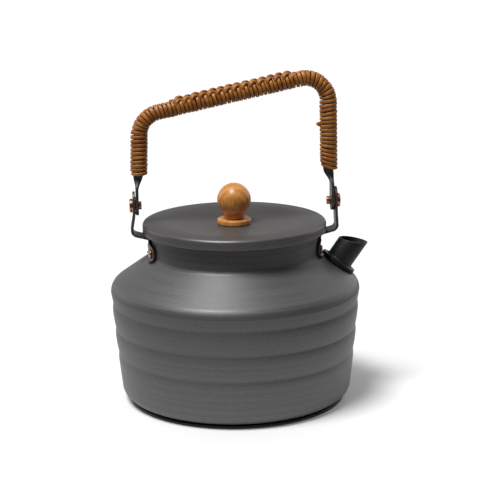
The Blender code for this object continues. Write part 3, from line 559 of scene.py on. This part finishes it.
low = FLOOR_HEIGHT + FLOOR_ROUND
outside = [Vector((0, FLOOR_HEIGHT))]
outside += arc((FOOT_RADIUS - FLOOR_ROUND, low), FLOOR_ROUND, 270, 360, 14)
rows = round((SHOULDER_HEIGHT - low) / SIDE_STEP)
for k in range(1, rows):
    height = low + (SHOULDER_HEIGHT - low) * k / rows
    outside.append(Vector((side_radius(height), height)))
outside += arc((BODY_RADIUS - SHOULDER_ROUND, SHOULDER_HEIGHT), SHOULDER_ROUND, 0,
               90 - CONE_DEGREES, 12)
fillet_rise = NECK_FILLET * math.tan((math.pi / 2 - SHOULDER_SLOPE) / 2)
fillet_middle = (NECK_RADIUS + NECK_FILLET, neck_foot + fillet_rise)
outside += arc(fillet_middle, NECK_FILLET, 270 - CONE_DEGREES, 180, 8)

inside = beside(outside, WALL)
inside[0] = Vector((0, FLOOR_HEIGHT + WALL))
bead_middle = (NECK_RADIUS - WALL + RIM_BEAD, rim_height - RIM_BEAD)
meets = math.degrees(math.acos((NECK_RADIUS - bead_middle[0]) / RIM_BEAD))
bead = arc(bead_middle, RIM_BEAD, 180, -meets, 22)
body = spun(inside + bead + outside[::-1], BODY_STEPS)
add_piece("pot_body", body, anodised, "kettle", ["body_shell"])

# %% [markdown]
# ## Base
# Under the foot lies a thin disc with eased edges. Its near-black colour is painted shade, which
# shows as a dark line where the kettle meets the floor. It is turned like the body, from four
# corners.

# %% Base plate
BASE_RADIUS = 70.0 * MM
BASE_THICKNESS = 2.0 * MM
BASE_ROUND = 0.7 * MM

base = spun(disc_line(0, BASE_RADIUS, 0, BASE_THICKNESS, BASE_ROUND, quarter=5), BODY_STEPS)
# painted shade: the base's near-black colour stands in for the shade under the foot
add_piece("base_disc", base, black_anodised_and_base_shade, "kettle", ["base_plate"])

# %% [markdown]
# ## Lid
# The lid is one disc of sheet, stamped in a die: a shallow bowl in the middle, a flat ring round
# it and a short skirt. Its section is a closed outline of even thickness, turned round Z. The
# bowl falls by a power of the distance, so it is level in the middle and steepest at its brim.

# %% Lid
LID_SHEET = 1.2 * MM
LID_RADIUS = 58.7 * MM
LID_TOP = 116.0 * MM
LID_BOTTOM = 109.7 * MM
LID_EDGE = 2.0 * MM
LID_INNER_ROUND = 0.6 * MM
SKIRT_ROUND = 0.3 * MM
DISH_RADIUS = 44.2 * MM
BOWL_SHAPE = 2.2
BOWL_ROWS = 30
DISH_FLOOR = 113.5 * MM
SCREW_HOLE = 2.3 * MM

lid_under = LID_TOP - LID_SHEET
lid_inner = LID_RADIUS - LID_SHEET


def bowl_line(lowered):
    """The dish from near the screw hole to its brim, lowered by a distance."""
    line = []
    for k in range(BOWL_ROWS + 1):
        radius = SCREW_HOLE + (DISH_RADIUS - SCREW_HOLE) * k / BOWL_ROWS
        drop = (LID_TOP - DISH_FLOOR) * (1 - (radius / DISH_RADIUS) ** BOWL_SHAPE)
        line.append(Vector((radius, LID_TOP - drop - lowered)))
    return line


brim = rounded_line([(DISH_RADIUS, LID_TOP, 0), (LID_RADIUS, LID_TOP, LID_EDGE),
                     (LID_RADIUS, LID_BOTTOM, SKIRT_ROUND), (lid_inner, LID_BOTTOM, SKIRT_ROUND),
                     (lid_inner, lid_under, LID_INNER_ROUND), (DISH_RADIUS, lid_under, 0)])
lid_line = bowl_line(0) + brim[1:-1] + bowl_line(LID_SHEET)[::-1]
lid = spun(lid_line, BODY_STEPS, closed=True)
add_piece("stamped_lid", lid, anodised_lid, "lid", ["lid_pan"])

# %% [markdown]
# ## Knob
# The knob is a turned ball on a short stem, and a turned disc lies between it and the lid. Both
# are small, but they are the warm spot that the eye goes to, so they get fine steps.

# %% Knob
KNOB_RADIUS = 10.75 * MM
KNOB_NECK = 6.5 * MM
KNOB_STEM = 3.3 * MM
KNOB_BOTTOM = 117.5 * MM
DISC_RADIUS = 10.8 * MM
DISC_LOW = 113.8 * MM
DISC_HIGH = 117.2 * MM
DISC_ROUND = 0.85 * MM
INSERT_HOLE = 3.4 * MM
INSERT_DEPTH = 12.1 * MM
STEM_ROUND = 0.4 * MM
KNOB_STEPS = 96

drop = math.degrees(math.acos(KNOB_NECK / KNOB_RADIUS))
ball_middle = KNOB_BOTTOM + KNOB_STEM + KNOB_RADIUS * math.sin(math.radians(drop))
ball = arc((0, ball_middle), KNOB_RADIUS, 90, -drop, 40)
ball[0] = Vector((0, ball_middle + KNOB_RADIUS))
stem_foot = rounded_line([(*ball[-1], 0), (KNOB_NECK, KNOB_BOTTOM, STEM_ROUND),
                          (INSERT_HOLE, KNOB_BOTTOM, 0)], quarter=4)
bore_top = KNOB_BOTTOM + INSERT_DEPTH
ball += stem_foot[1:] + [Vector((INSERT_HOLE, bore_top)), Vector((0, bore_top))]
add_piece("turned_knob", spun(ball, KNOB_STEPS), wood, "lid", ["knob_ball"])

disc = disc_line(SCREW_HOLE, DISC_RADIUS, DISC_LOW, DISC_HIGH, DISC_ROUND)
disc = spun(disc, KNOB_STEPS, closed=True)
add_piece("turned_disc", disc, wood, "lid", ["knob_base"])

# %% [markdown]
# ## Spout
# The spout is a short tube with a flange, pushed through the shoulder and flared inside. It is
# turned about its own axis, and one slanting bisect trims its mouth. The two open edges that
# the cut leaves are bridged, and the lip is bevelled, as a filed edge is.

# %% Spout
SPOUT_REACH = 66.2 * MM
SPOUT_RADIUS = 8.6 * MM
SPOUT_WALL = 1.2 * MM
SPOUT_SHORT = 14.7 * MM
SPOUT_LONG = 22.4 * MM
FLANGE_RADIUS = 12.1 * MM
FLANGE_LOW = 1.4 * MM
FLANGE_TOP = 2.5 * MM
FLARE_RADIUS = 10.1 * MM
FLARE_TOP = -2.0 * MM
FLARE_LOW = -2.9 * MM
SPOUT_FILLET = 1.6 * MM
FLANGE_ROUND = 0.3 * MM
FLARE_ROUND = 0.2 * MM
BORE_ROUND = 0.4 * MM
LIP_BEVEL = 0.25 * MM
SPOUT_STEPS = 96

spout_foot = Vector((SPOUT_REACH, 0, cone_wide_height + (cone_wide - SPOUT_REACH) * slope))
spout_place = Matrix.Translation(spout_foot) @ Matrix.Rotation(SHOULDER_SLOPE, 4, "Y")
bore = SPOUT_RADIUS - SPOUT_WALL
spare = SPOUT_LONG + 2 * SPOUT_WALL
corners = [(bore, spare, 0), (SPOUT_RADIUS, spare, 0), (SPOUT_RADIUS, FLANGE_TOP, SPOUT_FILLET),
           (FLANGE_RADIUS, FLANGE_TOP, FLANGE_ROUND), (FLANGE_RADIUS, FLANGE_LOW, FLARE_ROUND),
           (SPOUT_RADIUS, FLANGE_LOW, 0), (SPOUT_RADIUS, FLARE_TOP, 0),
           (FLARE_RADIUS, FLARE_TOP, FLARE_ROUND), (FLARE_RADIUS, FLARE_LOW, FLARE_ROUND),
           (bore, FLARE_LOW, BORE_ROUND)]
spout = spun(rounded_line(corners, closed=True), SPOUT_STEPS, closed=True)
lean = math.atan2(SPOUT_LONG - SPOUT_SHORT, 2 * SPOUT_RADIUS)
bmesh.ops.bisect_plane(spout, geom=all_of(spout), clear_outer=True,
                       plane_co=(0, 0, (SPOUT_LONG + SPOUT_SHORT) / 2),
                       plane_no=(-math.sin(lean), 0, math.cos(lean)))
cut_edges = [edge for edge in spout.edges if edge.is_boundary]
bmesh.ops.bridge_loops(spout, edges=cut_edges)
bmesh.ops.bevel(spout, geom=cut_edges, offset=LIP_BEVEL, affect="EDGES", segments=3,
                profile=0.5, material=-1, clamp_overlap=True)
bmesh.ops.recalc_face_normals(spout, faces=spout.faces)
bmesh.ops.transform(spout, matrix=spout_place, verts=spout.verts)
add_piece("short_spout", spout, black_anodised_and_base_shade, "kettle", ["spout"])

# %% [markdown]
# ## Spout seal
# A ring of silicone under the flange keeps the water in. It is pressed flat, with soft edges,
# and shows as a dark line round the spout's foot.

# %% Spout seal
GASKET_LOW = 0.3 * MM
GASKET_TOP = 1.1 * MM
GASKET_ROUND = 0.2 * MM

gasket = disc_line(SPOUT_RADIUS + TOUCH, FLANGE_RADIUS, GASKET_LOW, GASKET_TOP, GASKET_ROUND,
                   quarter=3)
gasket = spun(gasket, SPOUT_STEPS, closed=True, place=spout_place)
add_piece("spout_seal", gasket, rubber, "kettle", ["spout_gasket"])

# %% [markdown]
# ## Rivets, hinge pins and washers
# A copper rivet is a short rod with a flat head that has a round edge, and its tail is pressed
# flat inside. The handle turns on two larger ones, with a thin washer beside its end. Each
# outline is turned about its own axis, and one matrix sets it in its bracket.

# %% Rivets, hinge pins and washers
HINGE_HEIGHT = 127.2 * MM
LUG_HEIGHT = 98.1 * MM
RIVET_SPREAD = 12.3 * MM
PLATE_OUTER = 55.4 * MM
STRAP_INNER = 63.85 * MM
STRAP_OUTER = 65.45 * MM
TAB_INNER = 61.5 * MM
TAB_OUTER = 63.4 * MM
TAIL_INNER = 59.1 * MM
OUTWARD = {"right": 0.5 * MM, "left": -0.9 * MM}  # how far out each side stands, as measured
TAIL_SHARE = 0.3  # of that, which the tail of a hinge pin follows
# radius of the head, its height, its round edge, radius of the shank and of the tail
NECK_RIVET = (2.6 * MM, 1.1 * MM, 0.7 * MM, 1.5 * MM, 2.7 * MM)
HINGE_PIN = (4.4 * MM, 1.9 * MM, 0.6 * MM, 1.9 * MM, 2.6 * MM)
TAIL_THICK = 0.9 * MM
TAIL_ROUND = 0.35 * MM
UNDER_ROUND = 0.15 * MM
HEAD_GAP = 0.1 * MM
WASHER_HOLE = 2.2 * MM
WASHER_RADIUS = 5.8 * MM
WASHER_ROUND = 0.1 * MM
WASHER_GAP = 0.05 * MM
RIVET_STEPS = 32
PIN_STEPS = 48


def rivet_line(sizes, low, tail_high, tail_low):
    """Outline of a rivet along its axis, its head from low up and its tail between two levels."""
    head, rise, edge, shank, tail = sizes
    corners = [(0, low + rise, 0), (head, low + rise, edge), (head, low, UNDER_ROUND),
               (shank, low, 0), (shank, tail_high, 0), (tail, tail_high, UNDER_ROUND),
               (tail, tail_low, TAIL_ROUND), (0, tail_low, 0)]
    return rounded_line(corners, quarter=6)


quarter_turn = Matrix.Rotation(math.pi / 2, 4, "Y")
rivet_angle = math.asin(RIVET_SPREAD / PLATE_OUTER)
neck_inside = NECK_RADIUS - WALL - TOUCH
neck_rivet = rivet_line(NECK_RIVET, PLATE_OUTER + HEAD_GAP, neck_inside, neck_inside - TAIL_THICK)
washer_low, washer_high = TAB_OUTER + WASHER_GAP, STRAP_INNER - WASHER_GAP
for side, turn, way in (("right", 0, 1), ("left", math.pi, -1)):
    for end, sign in (("front", -1), ("rear", 1)):
        angle = turn + sign * way * rivet_angle
        place = Matrix.Translation(UP * LUG_HEIGHT) @ Matrix.Rotation(angle, 4, "Z") @ quarter_turn
        add_piece(f"copper_rivet_{side}_{end}", spun(neck_rivet, RIVET_STEPS, place=place), copper,
                  "kettle", [f"neck_rivet_{side}_{end}"])
    place = Matrix.Translation(UP * HINGE_HEIGHT) @ Matrix.Rotation(turn, 4, "Z") @ quarter_turn
    out = OUTWARD[side]
    hinge_pin = rivet_line(HINGE_PIN, STRAP_OUTER + out + HEAD_GAP, TAB_INNER + out - HEAD_GAP,
                           TAIL_INNER + TAIL_SHARE * out)
    washer = disc_line(WASHER_HOLE, WASHER_RADIUS, washer_low + out, washer_high + out,
                       WASHER_ROUND, quarter=2)
    add_piece(f"copper_pin_{side}", spun(hinge_pin, PIN_STEPS, place=place), copper, "kettle",
              [f"hinge_rivet_{side}"])
    add_piece(f"pin_washer_{side}", spun(washer, PIN_STEPS, closed=True, place=place), rubber,
              "kettle", [f"hinge_washer_{side}"])

# %% [markdown]
# ## Brackets
# Each bracket is a blank cut from sheet: a strap that stands on two ears. The blank is drawn
# flat, given its thickness and eased at its edges, as a maker files it before bending. Then it
# is bent: its foot round the neck and its strap out past the lid and up to the pin.

# %% Bending along a line
def run_of(line):
    """Length from the start of a line to each of its points."""
    run = [0.0]
    for before, after in zip(line, line[1:]):
        run.append(run[-1] + (after - before).length)
    return run


def rod(radius, sides, length, cuts):
    """A bmesh of a straight rod along Z from 0, with as many cuts to bend it at."""
    shape = bmesh.new()
    bmesh.ops.create_cone(shape, cap_ends=True, radius1=radius, radius2=radius, segments=sides,
                          depth=length)
    bmesh.ops.translate(shape, verts=shape.verts, vec=(0, 0, length / 2))
    long = [e for e in shape.edges if abs(e.verts[0].co.z - e.verts[1].co.z) > length / 2]
    bmesh.ops.subdivide_edges(shape, edges=long, cuts=cuts)
    return shape


def bend(shape, line, run):
    """Bend a straight shape along a line. x and y lie across the line, z along it."""
    ways = [heading(line, i) for i in range(len(line))]
    for vert in shape.verts:
        along = min(max(vert.co.z, run[0]), run[-1])
        i = min(bisect_right(run, along) - 1, len(line) - 2)
        share = (along - run[i]) / (run[i + 1] - run[i])
        way = ways[i].lerp(ways[i + 1], share).normalized()
        spot = line[i].lerp(line[i + 1], share) + way * (vert.co.z - along)
        across = vert.co.x
        vert.co = (spot.x + way.y * across, vert.co.y, spot.y - way.x * across)


def passing(line, run, axis, value, counts=lambda point: True):
    """How far along it a line first passes a value on one axis, and where on the other."""
    other = 1 - axis
    for i, (before, after) in enumerate(zip(line, line[1:])):
        low, high = sorted((before[axis], after[axis]))
        if counts(before) and low <= value <= high:
            share = (value - before[axis]) / (after[axis] - before[axis])
            return (run[i] + (run[i + 1] - run[i]) * share,
                    before[other] + (after[other] - before[other]) * share)
    return None


rising = [Vector((0, 0)), Vector((3, 4))]
print("halfway up a slope of 3 and 4:", passing(rising, run_of(rising), 1, 2))

# %% The line of a bracket
SHEET = 1.6 * MM
STRAP_HALF = 6.0 * MM
LUG_RADIUS = 5.9 * MM
STRAP_TIP = HINGE_HEIGHT + 9.0 * MM
LEAVES_NECK = 106.3 * MM  # the height at which the strap turns away from the neck
KNEE_RISE = 3.0 * MM      # it rises so far on its way out to its knee
KNEE_OUT = 1.2 * MM       # which stands so far outside the strap's top
NECK_BEND = 1.6 * MM
KNEE_BEND = 3.6 * MM
ARM_BEND = 12 * MM

plate_middle = PLATE_OUTER - SHEET / 2
strap_middle = STRAP_OUTER - SHEET / 2
foot_round = NECK_FILLET - TOUCH - SHEET / 2
foot_line = arc(fillet_middle, foot_round, 270 - CONE_DEGREES, 180, 12)
cone_way = Vector((math.cos(SHOULDER_SLOPE), -math.sin(SHOULDER_SLOPE)))
foot_line.insert(0, foot_line[0] + cone_way * 2 * LUG_RADIUS)


def bracket_line(out):
    """The line that a bracket's sheet follows, with its strap moved out by a distance."""
    strap = strap_middle + out
    strap_corners = [(plate_middle, LUG_HEIGHT, 0), (plate_middle, LEAVES_NECK, NECK_BEND),
                     (strap_middle + KNEE_OUT, LEAVES_NECK + KNEE_RISE, KNEE_BEND),
                     (strap, HINGE_HEIGHT - STRAP_HALF, ARM_BEND), (strap, STRAP_TIP, 0)]
    return foot_line + rounded_line(strap_corners, quarter=14)


strap_line = bracket_line(0)
strap_run = run_of(strap_line)
print(f"bracket line: {strap_run[-1] / MM:.1f} mm long")

# %% The blank of a bracket
LUG_ARCH = 1.6 * MM

ear = passing(strap_line, strap_run, 1, LUG_HEIGHT)[0]
arch = math.degrees(math.asin(LUG_ARCH / LUG_RADIUS))
tip = strap_run[-1] - STRAP_HALF
blank_line = arc((0, tip), STRAP_HALF, 0, 180, 20)
blank_line += [Vector((-STRAP_HALF, ear + LUG_RADIUS))]
blank_line += arc((-RIVET_SPREAD, ear), LUG_RADIUS, 90, 360 - arch, 24)
blank_line += arc((RIVET_SPREAD, ear), LUG_RADIUS, arch - 180, 90, 24)
blank_line += [Vector((STRAP_HALF, ear + LUG_RADIUS))]
print("corners of the blank:", len(blank_line))

# %% Cut and bend the brackets
EASED_EDGE = 0.3 * MM
ROW, COLUMN = 0.5, 1.25  # in mm: the blank is cut into strips, so that it bends smoothly
COLUMNS = 14             # to either side
WRAP_EASE = 4 * MM       # over this height it passes from the neck's round to the flat strap

wrap_end = LUG_HEIGHT + LUG_RADIUS + WRAP_EASE / 2
cuts = [((0, 0, k * ROW * MM), (0, 0, 1)) for k in range(1, round(strap_run[-1] / (ROW * MM)))]
cuts += [((0, k * COLUMN * MM, 0), (0, 1, 0)) for k in range(-COLUMNS, COLUMNS + 1)]
for side, turn in (("right", 0), ("left", math.pi)):
    blank = bmesh.new()
    face = blank.faces.new([blank.verts.new((-SHEET / 2, y, z)) for y, z in blank_line])
    grown = bmesh.ops.extrude_face_region(blank, geom=[face])["geom"]
    bmesh.ops.translate(blank, verts=[v for v in grown if isinstance(v, bmesh.types.BMVert)],
                        vec=(SHEET, 0, 0))
    bmesh.ops.recalc_face_normals(blank, faces=blank.faces)
    rims = [e for e in blank.edges if abs(e.verts[0].co.x - e.verts[1].co.x) < SAME_POINT]
    bmesh.ops.bevel(blank, geom=rims, offset=EASED_EDGE, affect="EDGES", segments=2,
                    profile=0.5, material=-1, clamp_overlap=True)
    for place, way in cuts:
        bmesh.ops.bisect_plane(blank, geom=all_of(blank), plane_co=place, plane_no=way)
    line = bracket_line(OUTWARD[side])
    bend(blank, line, run_of(line))
    for vert in blank.verts:
        angle = vert.co.y / plate_middle
        wrapped = Vector((vert.co.x * math.cos(angle), vert.co.x * math.sin(angle), vert.co.z))
        vert.co = vert.co.lerp(wrapped, held((wrap_end - vert.co.z) / WRAP_EASE))
    bmesh.ops.rotate(blank, verts=blank.verts, matrix=Matrix.Rotation(turn, 3, "Z"))
    add_piece(f"bent_strap_{side}", blank, anodised_plain, "kettle",
              [f"bracket_{side}"])

# %% [markdown]
# ## Handle
# The handle is a tube, bent twice and pressed flat at both ends. Its line is drawn from corner to
# corner, tab by tab. A straight row of rings is bent along it, and then its ends are pressed as
# in a vice: the sides come in to the thickness of the tab, and the tube grows wide and round.

# %% The handle's line
TUBE_RADIUS = 3.2 * MM
TUBE_SIDES = 32
TAB_HALF = 6.2 * MM
TAB_TOP = HINGE_HEIGHT + 11 * MM
PRESS_TOP = HINGE_HEIGHT + 20 * MM
TAB_MIDDLE = (TAB_INNER + TAB_OUTER) / 2
ARM_MIDDLE = TAB_MIDDLE - 2.1 * MM  # the round arm stands a little inside its tab
ARM_EASE = 12.4 * MM
LEFT_CORNER = (-59.0 * MM, 184.0 * MM)
RIGHT_CORNER = (59.8 * MM, 209.1 * MM)
LEFT_BEND = 16.0 * MM
RIGHT_BEND = 14.0 * MM

end = HINGE_HEIGHT - TAB_HALF
left_tab, right_tab = -TAB_MIDDLE - OUTWARD["left"], TAB_MIDDLE + OUTWARD["right"]
bail_corners = [(left_tab, end, 0), (left_tab, TAB_TOP, ARM_EASE),
                (-ARM_MIDDLE, PRESS_TOP, ARM_EASE), (*LEFT_CORNER, LEFT_BEND),
                (*RIGHT_CORNER, RIGHT_BEND), (ARM_MIDDLE, PRESS_TOP, ARM_EASE),
                (right_tab, TAB_TOP, ARM_EASE), (right_tab, end, 0)]
bail_line = rounded_line(bail_corners, quarter=60)
bail_run = run_of(bail_line)
print(f"handle line: {bail_run[-1] / MM:.1f} mm long")

# %% Tube with pressed ends
TUBE_STEP = 0.6 * MM
TAB_LEAST = 0.9 * MM  # half the width that the round end of a tab closes to


def arm_at(height, way):
    """How far along the handle the left or right arm passes a height, and its x there."""
    ends = (0.0, left_tab) if way < 0 else (bail_run[-1], right_tab)
    return passing(bail_line, bail_run, 1, height, lambda point: point.x * way > 0) or ends


tube = rod(TUBE_RADIUS, TUBE_SIDES, bail_run[-1], round(bail_run[-1] / TUBE_STEP))
bend(tube, bail_line, bail_run)
for vert in tube.verts:
    if vert.co.z < PRESS_TOP:
        share = min(1, (PRESS_TOP - vert.co.z) / (PRESS_TOP - TAB_TOP))
        share = share * share * (3 - 2 * share)  # starts and ends softly
        half_thick = TUBE_RADIUS + share * ((TAB_OUTER - TAB_INNER) / 2 - TUBE_RADIUS)
        half_wide = TUBE_RADIUS + share ** 2 * (TAB_HALF - TUBE_RADIUS)
        under = max(0, HINGE_HEIGHT - vert.co.z)
        if under:
            half_wide = max(math.sqrt(max(TAB_HALF ** 2 - under ** 2, 0)), TAB_LEAST)
        middle = arm_at(vert.co.z, 1 if vert.co.x > 0 else -1)[1]
        vert.co.x = middle + max(-half_thick, min(half_thick, vert.co.x - middle))
        vert.co.y *= half_wide / TUBE_RADIUS
add_piece("bail_tube_pressed", tube, anodised_plain, "bail", ["bail_tube"])

# %% [markdown]
# ## Cane winding
# The grip is bound with split cane: a strip with a flat inside and a rounded back, wound turn
# beside turn and tucked under at both ends. The winding is one spin with a rise at each step,
# straight along Z. Then each vertex moves a little, as a hand winds it: the turns stray, they
# are packed thicker on the arms and slant there, and a hollow runs along the back of the strip.

# %% Sizes of the winding
CANE_PITCH = 2.62 * MM
CANE_HALF_WIDE = 1.2 * MM
CANE_HALF_THICK = 0.95 * MM
CANE_MIDDLE = 4.35 * MM    # from the tube's middle to the strip's
FLAT_INSIDE = -0.75        # share of the half thickness at which the strip is flat inside
CANE_CREASE = 70           # edges flatter than this are shaded round
STRAND_SIDES = 12
STEPS_PER_TURN = 24
ROUND_TURN = math.tau * CANE_MIDDLE
WRAP_LOW_LEFT = HINGE_HEIGHT + 18.4 * MM
WRAP_LOW_RIGHT = HINGE_HEIGHT + 22.2 * MM
LEFT_ARM_TOP = 170 * MM
RIGHT_ARM_TOP = 190 * MM

start = arm_at(WRAP_LOW_LEFT, -1)[0]
finish_at = arm_at(WRAP_LOW_RIGHT, 1)[0]
turns = round((finish_at - start) / CANE_PITCH)
rise = (finish_at - start) / turns
left_top = arm_at(LEFT_ARM_TOP, -1)[0]
arm_top = arm_at(RIGHT_ARM_TOP, 1)[0]
print(f"turns of cane: {turns}, {rise / MM:.2f} mm apart")

# %% Wind the cane
TUCKED_TURNS = 0.6         # over this many turns each end comes up from under
TUCKED_START = 0.05
TUCKED_LOW = 0.35          # share of its height that an end has at first
PACKED_OUT = 1.0 * MM      # thicker by this on the right arm's outside
PACKED_IN = 0.7 * MM       # and by this on the left arm's inside
PACKED_EASE = 12 * MM
GROOVE = 0.42 * MM         # depth of the hollow along the strip's back
ARM_GROOVE = 0.18 * MM
GROOVE_FROM = 0.95         # share of the half thickness above which a vertex is on the back
WANDER = 0.42 * MM         # how far the turns stray along the handle
UNEVEN = 0.24 * MM         # and how much their height varies
TURN_DRIFT = 0.5           # how much of the noise one turn passes
ROUND_DRIFT = 0.6          # and the way round the tube
HEIGHT_DRIFT = 1.7         # the height varies quicker by this
SLANT_TOP = -0.9 * MM      # how far the turns slant at the top of the right arm
SLANT_END = 2.0 * MM       # and at its end
SLANT_EASE = 8             # the slant is whole after an eighth of the arm

winding = bmesh.new()
across_value = winding.verts.layers.float.new("across")
along_value = winding.verts.layers.float.new("along")
bmesh.ops.create_circle(winding, radius=1, segments=STRAND_SIDES)
for vert in winding.verts:
    up, over = vert.co.x, vert.co.y
    vert[across_value] = over
    vert.co = (CANE_MIDDLE + max(up, FLAT_INSIDE) * CANE_HALF_THICK, 0,
               start + (over + 1) * CANE_HALF_WIDE)
bmesh.ops.spin(winding, geom=all_of(winding), axis=UP, dvec=UP * rise / STEPS_PER_TURN,
               angle=math.tau, steps=STEPS_PER_TURN)
bmesh.ops.spin(winding, geom=all_of(winding), axis=UP, dvec=UP * rise,
               angle=math.tau * (turns - 1), steps=turns - 1, use_duplicate=True)
bmesh.ops.remove_doubles(winding, verts=winding.verts, dist=SAME_POINT)
bmesh.ops.holes_fill(winding, edges=[e for e in winding.edges if e.is_boundary], sides=0)
bmesh.ops.rotate(winding, verts=winding.verts, matrix=Matrix.Rotation(math.pi / 2, 3, "Z"))
for vert in winding.verts:
    turn = (vert.co.z - start - (vert[across_value] + 1) * CANE_HALF_WIDE) / rise
    vert[along_value] = turn * ROUND_TURN
    out = Vector((vert.co.x, vert.co.y))
    outward = -out.normalized().x
    tucked = min(1, (min(turn, turns - turn) + TUCKED_START) / TUCKED_TURNS)
    radius = TUBE_RADIUS + (out.length - TUBE_RADIUS) * (TUCKED_LOW + (1 - TUCKED_LOW) * tucked)
    on_right = held((vert.co.z - arm_top) / PACKED_EASE + 1)
    on_left = held((left_top - vert.co.z) / PACKED_EASE + 1)
    radius += PACKED_OUT * on_right * max(0, outward) + PACKED_IN * on_left * max(0, -outward)
    slow = Vector((turn * TURN_DRIFT, outward * ROUND_DRIFT, out.y / CANE_MIDDLE * ROUND_DRIFT))
    radius += UNEVEN * noise.noise(slow * HEIGHT_DRIFT)
    if out.length > CANE_MIDDLE + GROOVE_FROM * CANE_HALF_THICK:
        radius -= GROOVE + (ARM_GROOVE - GROOVE) * max(on_left, on_right)
    down_arm = max(0, (vert.co.z - arm_top) / (finish_at - arm_top))
    slant = SLANT_TOP + (SLANT_END - SLANT_TOP) * down_arm
    slant *= min(1, SLANT_EASE * down_arm) * outward
    vert.co = (*(out.normalized() * radius), vert.co.z + slant + WANDER * noise.noise(slow))
bmesh.ops.recalc_face_normals(winding, faces=winding.faces)
bend(winding, bail_line, bail_run)
add_piece("cane_binding", winding, cane, "bail", ["cane_wrap"], crease=CANE_CREASE)

# %% [markdown]
# ## Ridge on the handle
# Along the top of the bar, two narrower strips are laid in arches that overlap into a ridge.
# Each arch spans two turns: it comes up from between the turns at the back, crosses the top and
# dives between them at the front. So a strip is a straight rod with many rings, laid on a
# flattened coil that is half sunk in the winding, and then bent with the handle.

# %% Lay a strip along a path
STRIP_SIDES = 12
# at this place across, a strip's edge also takes part of the painted shade of the gaps
STRIP_EDGE = 0.9  # the edge of a narrow strip takes the stain of this place across it


def laid_strip(path, outs, half_wide, half_thick, points=0.0):
    """A flat strip along a path, its back turned to the outs, which may end in a point."""
    steps = len(path) - 1
    strip = rod(1, STRIP_SIDES, steps, steps - 1)
    across_value = strip.verts.layers.float.new("across")
    along_value = strip.verts.layers.float.new("along")
    ahead = [heading(path, i) for i in range(steps + 1)]
    for vert in strip.verts:
        i = round(vert.co.z)
        over, up = vert.co.x, vert.co.y
        vert[across_value] = over * STRIP_EDGE
        vert[along_value] = i * (path[1] - path[0]).length
        wide = ahead[i].cross(outs[i]).normalized()
        thick = wide.cross(ahead[i])
        whole = 1 - points * max(0, (i - steps / 2) / (steps / 2)) ** 2
        vert.co = path[i] + (wide * over * half_wide + thick * up * half_thick) * whole
    bmesh.ops.recalc_face_normals(strip, faces=strip.faces)
    return strip


print("a strip has", STRIP_SIDES, "sides")

# %% Ridge of two strips
RIDGE_START = -38 * MM
RIDGE_END = 40 * MM
RIDGE_HEIGHT = 3.3 * MM
RIDGE_DIVE = 1.6 * MM     # both ends of the ridge go down by this
DIVE_LENGTH = 5 * MM
TURNS_PER_ARCH = 2
STEPS_PER_ARCH = 28
UNEVEN_ARCH = 0.5 * MM
ARCH_DRIFT = 0.45         # how much of the noise one turn of the winding passes
# per strip, in mm: rise of an arch, its reach along the bar and to the side, its middle's place
# in front, half its width and half its thickness
RIDGE_STRIPS = {"upper": (2.9, 1.45, 2.7, 0.5, 1.35, 1.05),
                "lower": (1.9, 1.0, 1.3, 2.5, 1.1, 0.85)}

ridge_from, ridge_to = [
    passing(bail_line, bail_run, 0, place, lambda point: point.y > LEFT_CORNER[1])[0]
    for place in (RIDGE_START, RIDGE_END)]
arches = round((ridge_to - ridge_from) / (TURNS_PER_ARCH * rise))
steps = arches * STEPS_PER_ARCH
for name, sizes in RIDGE_STRIPS.items():
    arch_rise, reach, side, front, half_wide, half_thick = [v * MM for v in sizes]
    path, outs = [], []
    for k in range(steps + 1):
        turned = math.tau * k / STEPS_PER_ARCH
        place = ridge_from + (ridge_to - ridge_from) * k / steps
        from_end = min(place - ridge_from, ridge_to - place) / DIVE_LENGTH
        dive = RIDGE_DIVE * max(0, 1 - from_end) ** 2
        odd = Vector((place / rise * ARCH_DRIFT, front / MM, 0))
        height = RIDGE_HEIGHT + arch_rise * math.cos(turned) - dive
        height += UNEVEN_ARCH * noise.noise(odd)
        forward = front - side * math.sin(turned)
        path.append(Vector((-height, -forward, place + reach * math.sin(turned)
                            + UNEVEN_ARCH * noise.noise(odd + UP))))
        outs.append(Vector((-(height - TUBE_RADIUS / 2), -forward, 0)))
    strip = laid_strip(path, outs, half_wide, half_thick)
    bend(strip, bail_line, bail_run)
    add_piece(f"cane_twist_{name}", strip, cane, "bail", ["cane_wrap"], crease=CANE_CREASE)
print("arches of the ridge:", arches)

# %% [markdown]
# ## Cut end of the cane
# Where the winding was finished off, a short cut end stands out of the right arm. It is a strip
# like the others, on a straight path that leads out of the winding, and it ends in a point.

# %% Cut end
TIP_HEIGHT = 176.5 * MM
TIP_STEPS = 12
TIP_ROOT = Vector((3.4, -1.6, 0)) * MM       # from the handle's line, across and along it
TIP_STEP = Vector((0.4, -0.12, -0.08)) * MM
TIP_HALF_WIDE = 1.5 * MM
TIP_HALF_THICK = 0.7 * MM
TIP_POINTS = 0.85  # the end narrows by this share

tip_root = TIP_ROOT + UP * arm_at(TIP_HEIGHT, 1)[0]
path = [tip_root + TIP_STEP * k for k in range(TIP_STEPS)]
tip = laid_strip(path, [Vector((0, -1, 0))] * TIP_STEPS, TIP_HALF_WIDE, TIP_HALF_THICK,
                 points=TIP_POINTS)
bend(tip, bail_line, bail_run)
add_piece("cane_cut_tip", tip, cane, "bail", ["cane_wrap"], crease=CANE_CREASE)

# %% [markdown]
# ## Finishes of the kept pieces
# The insert, the washer and the screw under the knob have their right shape in the CAD part
# already. They stay as they are and only get their real metals.

# %% Kept pieces
for node, metal in (("knob_insert", brass), ("knob_washer", steel), ("knob_screw", steel)):
    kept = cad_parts[node]
    for kept_slot in kept.material_slots:
        kept_slot.material = metal
    print(node, "->", metal.name, "in", len(kept.material_slots), "slot")
